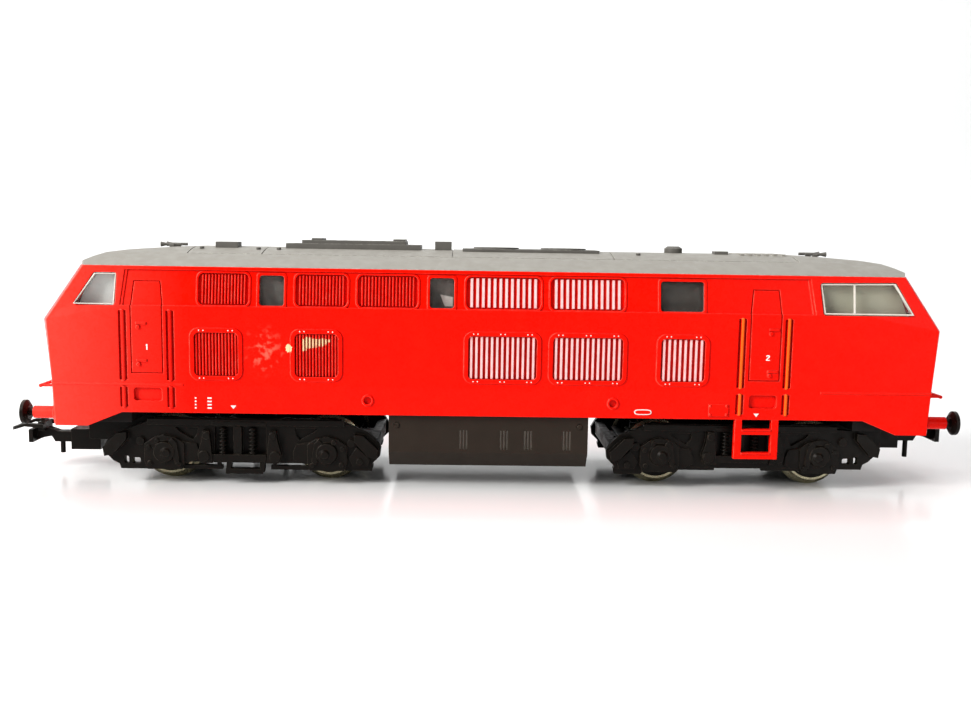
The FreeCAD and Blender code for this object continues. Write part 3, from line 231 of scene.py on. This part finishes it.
def grille_chip(tree, place, axes):
    """Ragged wedge of bare cream plastic across one lower grille, and a fleck to its left."""
    half_height = spread(tree, axes[0], *CHIP_X, 1.35, 0.15)
    slope = product(tree, axes[0], 0.14)
    height = math_node(tree, "SUBTRACT", math_node(tree, "SUBTRACT", axes[2], slope), 34.0)
    ragged = spread(tree, noise(tree, place, 1.6, 4.0, 0.7), 0.2, 0.8, -0.7, 0.7)
    off = math_node(tree, "ADD", math_node(tree, "ABSOLUTE", height), ragged)
    inside = math_node(tree, "LESS_THAN", off, half_height)
    chip = product(tree, inside, within(tree, axes, [(0, *CHIP_X), (1, -19.0, -15.0)]))
    fleck = math_node(tree, "ADD", ball_distance(tree, place, FLECK, (0.7, 1.0, 1.0)), ragged)
    return math_node(tree, "MAXIMUM", chip, math_node(tree, "LESS_THAN", fleck, 0.8))


def paint_colour(tree, place, axes):
    """Red with a painted reflection that pales the left end, faded patches, a painted pink reflection on
    some slats, a painted orange highlight on the door rails, and one smudge.
    """
    base = blend_colour(tree, noise(tree, place, 0.05, 2.0), (0.80, 0.005, 0.0), (0.90, 0.008, 0.0))
    # painted reflection: the left end paler and pinker towards its tip
    painted_end_reflection = spread(tree, axes[0], -60.0, -86.0, 0.0, 0.75)
    base = blend_colour(tree, painted_end_reflection, base, (0.90, 0.070, 0.050))
    faded = spread(tree, noise(tree, place, 0.35, 4.0), 0.45, 0.75, 0.0, 0.2)
    base = blend_colour(tree, faded, base, (0.88, 0.018, 0.004))
    geometry = tree.nodes.new("ShaderNodeNewGeometry")
    sideways = math_node(tree, "ABSOLUTE", split_xyz(tree, geometry.outputs["Normal"])[1])
    facing = math_node(tree, "GREATER_THAN", sideways, 0.85)
    uneven = spread(tree, noise(tree, place, 0.8, 3.0), 0.3, 0.7, 0.75, 0.95)
    # painted reflection: pale pink on the slat faces of five grilles
    slats = product(tree, painted_slat_reflection(tree, axes), facing, uneven)
    base = blend_colour(tree, slats, base, (0.93, 0.62, 0.62))
    # painted highlight: the door rails turned orange
    rails = product(tree, painted_rail_highlight(tree, axes), 0.7)
    base = blend_colour(tree, rails, base, (0.93, 0.20, 0.02))
    smudge = spread(tree, ball_distance(tree, place, SMUDGE, SMUDGE_SIZE), 1.0, 0.3)
    patches = spread(tree, noise(tree, place, 0.8, 3.0), 0.5, 0.64)
    return blend_colour(tree, product(tree, smudge, patches, 0.6), base, (0.90, 0.20, 0.14))


def edge_tones(tree, base, place, rounded, edges):
    """Light tones on edges that face left, dark ones on edges that face right and in corners.

    The photograph's light comes from the left; this part of it is painted on."""
    facing = split_xyz(tree, rounded)[0]
    patchy = spread(tree, noise(tree, place, 0.7, 3.0), 0.35, 0.65, 0.35, 0.8)
    light = product(tree, edges, patchy, spread(tree, facing, 0.10, -0.30))
    base = blend_colour(tree, light, base, (0.98, 0.26, 0.19))
    dark = product(tree, edges, spread(tree, facing, 0.15, 0.45, 0.0, 0.75))
    base = blend_colour(tree, dark, base, (0.36, 0.0, 0.0))
    # painted shade: dark red in corners and grooves
    return blend_colour(tree, product(tree, crevices(tree, 0.9), 0.6), base, (0.34, 0.0, 0.0))


def red_paint():
    """Glossy sprayed red with faint orange peel, chipped down to cream plastic on one grille."""
    mat, tree, shader = new_material("red_paint")
    place = coords(tree)
    axes = split_xyz(tree, place)
    chip = grille_chip(tree, place, axes)
    base = blend_colour(tree, chip, paint_colour(tree, place, axes), (0.86, 0.62, 0.36))
    rounded, edges = rounded_edges(tree, 0.26, flat=True)
    base = edge_tones(tree, base, place, rounded, edges)
    tree.links.new(base, shader.inputs["Base Color"])
    rough = spread(tree, noise(tree, place, 0.9, 5.0), 0.3, 0.7, 0.22, 0.34)
    rough = math_node(tree, "ADD", rough, product(tree, chip, 0.3))
    tree.links.new(rough, shader.inputs["Roughness"])
    shader.inputs["IOR"].default_value = 1.45
    shader.inputs["Specular IOR Level"].default_value = 0.16
    peel = noise(tree, place, 3.0, 2.0)
    relief = math_node(tree, "ADD", peel, product(tree, chip, -3.0))
    bumped(tree, shader, relief, 0.10, 0.00003, rounded)
    return mat


def moulded(name, dark, light, rough_low, rough_high, grain=2.0, bump=0.15, dust=(0.3, 0.28, 0.25),
            dust_share=0.25, specular=0.3, flat=False, highlight_gain=2.2):
    """Matt or satin moulded plastic with mottling, dust on its upper faces and painted highlights on its
    edges.
    """
    mat, tree, shader = new_material(name)
    place = coords(tree)
    base = blend_colour(tree, noise(tree, place, 0.25, 4.0), dark, light)
    geometry = tree.nodes.new("ShaderNodeNewGeometry")
    up = split_xyz(tree, geometry.outputs["Normal"])[2]
    patches = spread(tree, noise(tree, place, 0.5, 4.0), 0.4, 0.7)
    dusty = product(tree, spread(tree, up, 0.2, 1.0), patches, dust_share)
    base = blend_colour(tree, dusty, base, dust)
    rough = spread(tree, noise(tree, place, 0.7, 3.0), 0.3, 0.7, rough_low, rough_high)
    tree.links.new(rough, shader.inputs["Roughness"])
    rounded, edges = rounded_edges(tree, 0.20, flat)
    # painted highlights: paler patches along the edges
    patchy = spread(tree, noise(tree, place, 1.1, 3.0), 0.40, 0.62, 0.1, 0.8)
    edge_highlight = tuple(min(0.9, highlight_gain * c + 0.004) for c in light)
    base = blend_colour(tree, product(tree, edges, patchy), base, edge_highlight)
    tree.links.new(base, shader.inputs["Base Color"])
    shader.inputs["Specular IOR Level"].default_value = specular
    bumped(tree, shader, noise(tree, place, grain, 3.0), bump, 0.00004, rounded)
    return mat


def tank_plastic():
    """Dark brown tank moulding with a pale painted highlight in its grooves."""
    mat = moulded("tank_brown", (0.026, 0.019, 0.014), (0.036, 0.027, 0.020), 0.38, 0.55, 2.0, 0.2,
                  (0.12, 0.10, 0.08), 0.3, 0.2, flat=True, highlight_gain=2.6)
    tree = mat.node_tree
    shader = next(node for node in tree.nodes if node.type == "BSDF_PRINCIPLED")
    link = shader.inputs["Base Color"].links[0]
    base = link.from_socket
    tree.links.remove(link)
    axes = split_xyz(tree, coords(tree))
    depth = math_node(tree, "ABSOLUTE", axes[1])
    # painted highlight: the groove floors made pale
    groove_highlight = within(tree, [axes[0], depth, axes[2]], TANK_GROOVES)
    tree.links.new(blend_colour(tree, groove_highlight, base, (0.30, 0.28, 0.25)), shader.inputs["Base Color"])
    return mat


def metal(name, tone, rough_low, rough_high):
    """Bare metal with darker grimy patches and a fine grain."""
    mat, tree, shader = new_material(name)
    place = coords(tree)
    darker = tuple(0.6 * c for c in tone)
    grime = spread(tree, noise(tree, place, 0.6, 4.0), 0.4, 0.75)
    tree.links.new(blend_colour(tree, grime, tone, darker), shader.inputs["Base Color"])
    shader.inputs["Metallic"].default_value = 1.0
    fine = noise(tree, place, 4.0, 3.0, 0.6)
    tree.links.new(spread(tree, fine, 0.3, 0.7, rough_low, rough_high), shader.inputs["Roughness"])
    bumped(tree, shader, fine, 0.08, 0.00002)
    return mat


def clear_plastic():
    """Thin clear glazing with dusty patches and a glossy face."""
    mat, tree, shader = new_material("clear_plastic")
    place = coords(tree)
    dusty = noise(tree, place, 0.6, 4.0)
    tone = blend_colour(tree, dusty, (0.80, 0.80, 0.78), (0.70, 0.70, 0.66))
    tree.links.new(tone, shader.inputs["Base Color"])
    tree.links.new(spread(tree, dusty, 0.35, 0.7, 0.05, 0.2), shader.inputs["Roughness"])
    shader.inputs["IOR"].default_value = 1.49
    shader.inputs["Specular IOR Level"].default_value = 0.4
    bumped(tree, shader, noise(tree, place, 0.4, 2.0), 0.05, 0.00002)
    clear = tree.nodes.new("ShaderNodeBsdfTransparent")
    clear.inputs["Color"].default_value = (0.97, 0.98, 0.97, 1.0)
    facing = tree.nodes.new("ShaderNodeLayerWeight")
    facing.inputs["Blend"].default_value = 0.25
    share = spread(tree, facing.outputs["Facing"], 0.0, 1.0, 0.015, 0.5)
    share = math_node(tree, "ADD", share, spread(tree, dusty, 0.45, 0.8, 0.0, 0.04))
    mixed = tree.nodes.new("ShaderNodeMixShader")
    tree.links.new(share, mixed.inputs[0])
    tree.links.new(clear.outputs[0], mixed.inputs[1])
    tree.links.new(shader.outputs[0], mixed.inputs[2])
    out = next(node for node in tree.nodes if node.type == "OUTPUT_MATERIAL")
    tree.links.new(mixed.outputs[0], out.inputs[0])
    return mat


def plain_white():
    """Slightly worn white print, also used for the screw heads and the oval rim."""
    mat, tree, shader = new_material("white_print")
    place = coords(tree)
    worn = spread(tree, noise(tree, place, 3.0, 3.0), 0.3, 0.8)
    tone = blend_colour(tree, worn, (0.86, 0.84, 0.82), (0.80, 0.70, 0.68))
    tree.links.new(tone, shader.inputs["Base Color"])
    tree.links.new(spread(tree, worn, 0.0, 1.0, 0.45, 0.6), shader.inputs["Roughness"])
    bumped(tree, shader, noise(tree, place, 4.0), 0.08, 0.00002)
    return mat


def window_backing():
    """Tones seen through the three side windows, partly the dim parts inside and partly painted shade: grey
    twice, with painted light from a far window in one corner, and dark brown.
    """
    mat, tree, shader = new_material("window_backing")
    place = coords(tree)
    axes = split_xyz(tree, place)
    middle = math_node(tree, "GREATER_THAN", axes[0], -25.0)
    last = math_node(tree, "GREATER_THAN", axes[0], 20.0)
    tone = blend_colour(tree, middle, (0.13, 0.125, 0.115), (0.15, 0.14, 0.13))
    tone = blend_colour(tree, last, tone, (0.022, 0.013, 0.007))
    left_edge = math_node(tree, "ADD", axes[0], product(tree, axes[2], 0.395))
    top_edge = math_node(tree, "ADD", axes[2], product(tree, axes[0], 0.2))
    # painted light from a far window, in one corner of the middle panel
    bright = product(tree, spread(tree, left_edge, 4.1, 4.3), spread(tree, top_edge, 36.5, 36.3),
                     within(tree, axes, [(0, -12.0, -8.6), (2, 36.3, 39.0)]))
    # painted shade: darker below a slanting line in the middle panel
    lower_edge = math_node(tree, "ADD", axes[2], product(tree, axes[0], 0.5))
    lower = product(tree, spread(tree, lower_edge, 34.5, 32.5), within(tree, axes, [(0, -14.0, -7.0)]), 0.6)
    tone = blend_colour(tree, lower, tone, (0.03, 0.025, 0.02))
    tone = blend_colour(tree, bright, tone, (0.98, 0.97, 0.95))
    shade = spread(tree, noise(tree, place, 0.5, 3.0), 0.3, 0.7, 0.0, 0.35)
    tree.links.new(blend_colour(tree, shade, tone, (0.02, 0.018, 0.016)), shader.inputs["Base Color"])
    tree.links.new(spread(tree, noise(tree, place, 1.0), 0.3, 0.7, 0.5, 0.7), shader.inputs["Roughness"])
    bumped(tree, shader, noise(tree, place, 2.0), 0.1, 0.00003)
    return mat


black_tones = ((0.0040, 0.0030, 0.0020), (0.010, 0.0080, 0.0058))
materials = {
    "red_paint": red_paint(),
    "roof_grey": moulded("roof_grey", (0.275, 0.262, 0.236), (0.305, 0.292, 0.264), 0.45, 0.6, 5.0, 0.12,
                         (0.40, 0.39, 0.37), 0.25, 0.2),
    "fitting_grey": moulded("fitting_grey", (0.10, 0.095, 0.086), (0.15, 0.143, 0.130), 0.40, 0.60),
    "black_plastic": moulded("black_plastic", *black_tones, 0.30, 0.50, 1.6, 0.7, (0.04, 0.034, 0.027),
                             0.12, 0.20, highlight_gain=8.0),
    "tank_brown": tank_plastic(),
    "buffer_black": moulded("buffer_black", (0.006, 0.003, 0.002), (0.010, 0.006, 0.004), 0.25, 0.42,
                            specular=0.2),
    "cast_weight": moulded("cast_weight", (0.10, 0.10, 0.10), (0.16, 0.16, 0.16), 0.45, 0.65),
    "black_casting": moulded("black_casting", (0.004, 0.0035, 0.003), (0.010, 0.009, 0.008), 0.5, 0.7),
    "wheel_metal": metal("wheel_metal", (0.40, 0.37, 0.26), 0.20, 0.36),
    "axle_steel": metal("axle_steel", (0.62, 0.61, 0.58), 0.22, 0.35),
    "rubber_tyre": moulded("rubber_tyre", (0.014, 0.014, 0.014), (0.022, 0.022, 0.022), 0.7, 0.85),
    "bronze": metal("bronze", (0.72, 0.45, 0.20), 0.25, 0.40),
    "gear_brass": metal("gear_brass", (0.78, 0.58, 0.24), 0.25, 0.38),
    "gear_plastic": moulded("gear_plastic", (0.62, 0.60, 0.52), (0.70, 0.68, 0.60), 0.35, 0.50),
    "magnet": metal("magnet", (0.12, 0.12, 0.13), 0.45, 0.60),
    "motor_steel": metal("motor_steel", (0.20, 0.20, 0.21), 0.30, 0.45),
    "armature_steel": metal("armature_steel", (0.50, 0.26, 0.14), 0.30, 0.45),
    "clear_plastic": clear_plastic(),
}
white_print = plain_white()
cab_beige = moulded("cab_beige", (0.42, 0.395, 0.31), (0.48, 0.455, 0.36), 0.5, 0.65)
pale_cab_panel = moulded("pale_cab_panel", (0.80, 0.82, 0.83), (0.88, 0.89, 0.90), 0.5, 0.65)
pale_frame = moulded("pale_frame", (0.60, 0.57, 0.50), (0.72, 0.68, 0.60), 0.35, 0.5)
dim_backing = window_backing()


def dress_cad():
    """Give every CAD node the material of its slot in the record, and the tank's screws the tank's."""
    for entry in frame["record"]["subparts"]:
        obj = nodes[entry["node"]]
        obj.data.materials.clear()
        slot_name = "tank_brown" if entry["node"] == "tank_screws" else entry["material_slot"]
        obj.data.materials.append(materials[slot_name])


# ---------------------------------------------------------------- mesh helpers
def finish_mesh(bm, name, body, material):
    """Make the mesh a flat-faced object that rides on a body."""
    mesh = bpy.data.meshes.new(name)
    bmesh.ops.recalc_face_normals(bm, faces=bm.faces)
    bm.to_mesh(mesh)
    bm.free()
    obj = bpy.data.objects.new(name, mesh)
    scene.collection.objects.link(obj)
    obj.data.materials.append(material)
    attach(obj, body)


# ---------------------------------------------------------------- small pieces
def add_solid(bm, front, back):
    """Closed solid between two outlines that have the same number of points."""
    near, far = ([bm.verts.new((x * MM, y * MM, z * MM)) for x, y, z in ring] for ring in (front, back))
    bm.faces.new(near)
    bm.faces.new(far[::-1])
    for k in range(len(front)):
        n = (k + 1) % len(front)
        bm.faces.new((near[k], far[k], far[n], near[n]))


def add_plate(bm, points, y_out, y_in):
    """Side-view outline given a thickness across the locomotive, on both sides of it."""
    for side in (-1, 1):
        front, back = ([(x, side * y, z) for x, z in points] for y in (y_out, y_in))
        add_solid(bm, front, back)


def add_block(bm, x0, x1, y0, y1, z0, z1, lean=0.0):
    """Box whose top is shifted along the locomotive by the lean."""
    corners = ((x0, y0), (x1, y0), (x1, y1), (x0, y1))
    add_solid(bm, [(x + lean, y, z1) for x, y in corners], [(x, y, z0) for x, y in corners])


def round_dot(x, z, radius, count=10):
    angles = [2 * math.pi * k / count for k in range(count)]
    return [(x + radius * math.cos(a), z + radius * math.sin(a)) for a in angles]


def printed_marks():
    """Cab end digits, lifting triangles and two columns of data bars printed in white."""
    bm = bmesh.new()
    one = [(-67.60, 27.3), (-67.35, 27.3), (-67.35, 28.4), (-67.55, 28.4), (-67.75, 28.15), (-67.6, 28.15)]
    two = [(52.8, 26.8), (53.6, 26.8), (53.6, 26.98), (53.08, 26.98), (53.55, 27.5), (53.55, 27.75),
           (53.35, 27.9), (53.0, 27.9), (52.82, 27.75), (52.82, 27.58), (53.0, 27.58), (53.08, 27.7),
           (53.25, 27.7), (53.3, 27.6), (52.8, 27.05)]
    marks = [one, two]
    for x, z in ((51.4, 16.3), (-51.0, 16.6)):
        marks.append([(x - 0.55, z), (x + 0.55, z), (x, z - 0.7)])
    for x, half in ((-58.3, 0.16), (-55.6, 0.42)):
        for z in (15.9, 16.55, 17.2, 17.85):
            marks.append([(x - half, z), (x + half, z), (x + half, z + 0.28), (x - half, z + 0.28)])
    for outline in marks:
        add_plate(bm, outline, SIDE_Y + 0.015, SIDE_Y - 0.05)
    finish_mesh(bm, "printed_marks", "locomotive", white_print)


def rivet_dots():
    """Bright screw heads in pairs on the frames of the lower grilles."""
    bm = bmesh.new()
    z0, z1 = LOW_LOUVRE_Z
    for index, (x0, x1) in enumerate(LOW_LOUVRES):
        pairs = 3 if index in (2, 3) else 2
        for k in range(pairs):
            x = x0 + 2.3 + (x1 - x0 - 4.6) * k / (pairs - 1)
            for z in (z0 + 0.45, z1 - 0.45):
                for dx in (-0.42, 0.42):
                    add_plate(bm, round_dot(x + dx, z, 0.13, 8), SIDE_Y + 0.26, SIDE_Y + 0.1)
    finish_mesh(bm, "grille_screws", "locomotive", white_print)


def oval(x, z, half_width, half_height):
    """Outline of a rounded-off rectangle."""
    points = []
    for k in range(20):
        a = 2 * math.pi * k / 20
        across, up = math.cos(a), math.sin(a)
        points.append((x + half_width * math.copysign(abs(across) ** 0.6, across),
                       z + half_height * math.copysign(abs(up) ** 0.6, up)))
    return points


def maker_plate():
    """Blank oval plate with a pale rim, and a small riveted panel, low on each side."""
    bm = bmesh.new()
    add_plate(bm, oval(29.0, 16.3, 1.7, 0.55), SIDE_Y + 0.06, SIDE_Y - 0.1)
    finish_mesh(bm, "oval_rim", "locomotive", white_print)
    bm = bmesh.new()
    add_plate(bm, oval(29.0, 16.3, 1.5, 0.36), SIDE_Y + 0.10, SIDE_Y - 0.1)
    finish_mesh(bm, "oval_plate", "locomotive", materials["red_paint"])
    bm = bmesh.new()
    add_plate(bm, [(41.9, 15.6), (45.9, 15.6), (45.9, 18.1), (41.9, 18.1)], SIDE_Y + 0.06, SIDE_Y - 0.1)
    for x in (42.3, 45.5):
        for z in (16.0, 17.7):
            add_plate(bm, round_dot(x, z, 0.2), SIDE_Y + 0.16, SIDE_Y)
    finish_mesh(bm, "riveted_panel", "locomotive", materials["red_paint"])


def add_panels(name, outlines, material):
    """Upright panels inside the shell, on both sides of the locomotive."""
    bm = bmesh.new()
    for points in outlines:
        add_plate(bm, points, *PANEL_Y)
    finish_mesh(bm, name, "locomotive", material)


def backing_panels():
    """One panel behind each small window, and one behind the side window of each cab."""
    z0, z1 = WINDOW_Z[0] - 1.0, WINDOW_Z[1] + 0.6
    small = [[(x0 - 1.2, z0), (x1 + 1.2, z0), (x1 + 1.2, z1), (x0 - 1.2, z1)] for x0, x1 in WINDOWS]
    add_panels("window_backing", small, dim_backing)
    add_panels("cab_lining", [[(62.2, 33.5), (82.4, 33.5), (78.4, 43.0), (62.2, 43.0)]], cab_beige)
    # pale panel behind the left cab's side window
    add_panels("left_cab_panel", [[(-82.4, 33.5), (-72.0, 33.5), (-72.0, 43.0), (-78.4, 43.0)]], pale_cab_panel)


def slanted(points, depth):
    """Side-view outline laid along the leaning window band, this far inwards of it."""
    rows = []
    for x, z in points:
        y = SIDE_Y - (z - WAIST_Z) * math.tan(BAND_TILT) - depth
        rows.append((x, y, z))
    return rows


def add_strip(bm, outline, width):
    """Narrow frame inside a window outline, on both sides of the locomotive."""
    middle_x = sum(x for x, z in outline) / len(outline)
    middle_z = sum(z for x, z in outline) / len(outline)
    inner = []
    for x, z in outline:
        inward_x = math.copysign(1, middle_x - x)
        inward_z = math.copysign(1, middle_z - z)
        inner.append((x + width * 1.3 * inward_x, z + width * inward_z))
    front, back = FRAME_DEPTH
    for side in (-1, 1):
        loops = []
        for points, depth in ((outline, front), (inner, front), (inner, back), (outline, back)):
            rows = slanted(points, depth)
            loops.append([bm.verts.new((x * MM, side * y * MM, z * MM)) for x, y, z in rows])
        for first, second in zip(loops, loops[1:] + loops[:1]):
            for k in range(len(outline)):
                n = (k + 1) % len(outline)
                bm.faces.new((first[k], first[n], second[n], second[k]))


def cab_window_frames():
    """Pale inner frames of the cab side windows, and the sliding-pane bar of the longer one."""
    bm = bmesh.new()
    add_strip(bm, [(-81.5, 36.0), (-73.7, 36.0), (-73.4, 41.9), (-77.6, 41.9)], 0.16)
    add_strip(bm, [(63.9, 36.0), (81.6, 36.0), (78.0, 42.1), (63.2, 41.9)], 0.26)
    bar = [(69.72, 36.1), (70.08, 36.1), (70.08, 42.0), (69.72, 42.0)]
    for side in (-1, 1):
        front, back = ([(x, side * y, z) for x, y, z in slanted(bar, depth)] for depth in FRAME_DEPTH)
        add_solid(bm, front, back)
    finish_mesh(bm, "cab_window_frames", "locomotive", pale_frame)


def cab_interior():
    """Back wall, desk and two seats inside the right-hand cab, in plain beige."""
    bm = bmesh.new()
    add_block(bm, 61.4, 61.9, -15.0, 15.0, 18.0, 42.0)
    add_block(bm, 77.0, 81.0, -14.0, 14.0, 30.0, 34.2, -0.6)
    for y in (-7.5, 7.5):
        add_block(bm, 68.0, 72.0, y - 2.2, y + 2.2, 28.0, 29.2)
        add_block(bm, 67.2, 68.2, y - 2.2, y + 2.2, 28.0, 37.5, -0.8)
    finish_mesh(bm, "cab_interior", "locomotive", cab_beige)


# ---------------------------------------------------------------- stage
def set_camera():
    """Camera at the photograph's viewing angle."""
    place = Vector((-0.006285, -0.22012, 0.05083))
    yaw, pitch, roll = 0.021, -0.125, 0.0162
    ahead = Vector((math.sin(yaw) * math.cos(pitch), math.cos(yaw) * math.cos(pitch), math.sin(pitch)))
    right = Vector((math.cos(yaw), -math.sin(yaw), 0.0))
    up = right.cross(ahead)
    turned_right = right * math.cos(roll) + up * math.sin(roll)
    turned_up = up * math.cos(roll) - right * math.sin(roll)
    data = bpy.data.cameras.new("camera")
    data.lens = 38.83
    data.sensor_width = 36.0
    data.clip_start = 0.005
    data.clip_end = 20.0
    obj = bpy.data.objects.new("camera", data)
    axes = Matrix((turned_right, turned_up, -ahead)).transposed()
    obj.matrix_world = Matrix.Translation(place) @ axes.to_4x4()
    scene.collection.objects.link(obj)
    scene.camera = obj


def floor():
    """Plain white floor that curves up into a backdrop far behind the model."""
    bm = bmesh.new()
    curve_from, radius, steps = 0.5, 0.5, 16
    profile = [(-1.6, 0.0), (curve_from, 0.0)]
    for k in range(1, steps + 1):
        a = 0.5 * math.pi * k / steps
        profile.append((curve_from + radius * math.sin(a), radius * (1 - math.cos(a))))
    profile.append((1.0, 2.2))
    left = [bm.verts.new((-2.5, y, z)) for y, z in profile]
    right = [bm.verts.new((2.5, y, z)) for y, z in profile]
    for k in range(len(profile) - 1):
        bm.faces.new((left[k], right[k], right[k + 1], left[k + 1]))
    mesh = bpy.data.meshes.new("floor")
    bmesh.ops.recalc_face_normals(bm, faces=bm.faces)
    bm.to_mesh(mesh)
    bm.free()
    for poly in mesh.polygons:
        poly.use_smooth = True
    obj = bpy.data.objects.new("floor", mesh)
    scene.collection.objects.link(obj)
    mat, tree, shader = new_material("floor_white")
    place = coords(tree)
    tint = blend_colour(tree, noise(tree, place, 0.004, 2.0), (0.86, 0.87, 0.875), (0.90, 0.90, 0.895))
    tree.links.new(tint, shader.inputs["Base Color"])
    shader.inputs["Roughness"].default_value = 0.18
    shader.inputs["Specular IOR Level"].default_value = 0.35
    obj.data.materials.append(mat)


def area_light(name, place, target, size_x, size_y, power, colour=(1, 1, 1)):
    data = bpy.data.lights.new(name, "AREA")
    data.shape = "RECTANGLE"
    data.size = size_x
    data.size_y = size_y
    data.energy = power
    data.color = colour
    obj = bpy.data.objects.new(name, data)
    obj.location = place
    aim = Vector(target) - Vector(place)
    obj.rotation_euler = aim.to_track_quat("-Z", "Y").to_euler()
    obj.visible_camera = False
    scene.collection.objects.link(obj)


def lighting():
    """Light from a window on the left and from above, a weak fill, and light on the backdrop."""
    world = bpy.data.worlds.new("world")
    world.use_nodes = True
    background = world.node_tree.nodes["Background"]
    background.inputs[0].default_value = (0.97, 0.985, 1.0, 1.0)
    background.inputs[1].default_value = 0.16
    scene.world = world
    area_light("window", (-0.70, -0.50, 0.50), (0, 0, 0.02), 0.40, 0.50, 11.0, (1.0, 0.99, 0.97))
    area_light("ceiling", (0.0, 0.05, 0.95), (0, 0, 0), 1.0, 0.8, 4.6)
    area_light("fill", (0.55, -0.85, 0.22), (0, 0, 0.02), 0.5, 0.4, 1.2)
    area_light("backdrop", (0.0, 0.35, 0.75), (0, 1.0, 0.25), 1.6, 0.4, 4.0)
    scene.view_settings.view_transform = "Standard"
    scene.view_settings.look = "Medium High Contrast"


# ---------------------------------------------------------------- build
set_camera()
floor()
lighting()
dress_cad()
printed_marks()
rivet_dots()
maker_plate()
backing_panels()
cab_window_frames()
cab_interior()
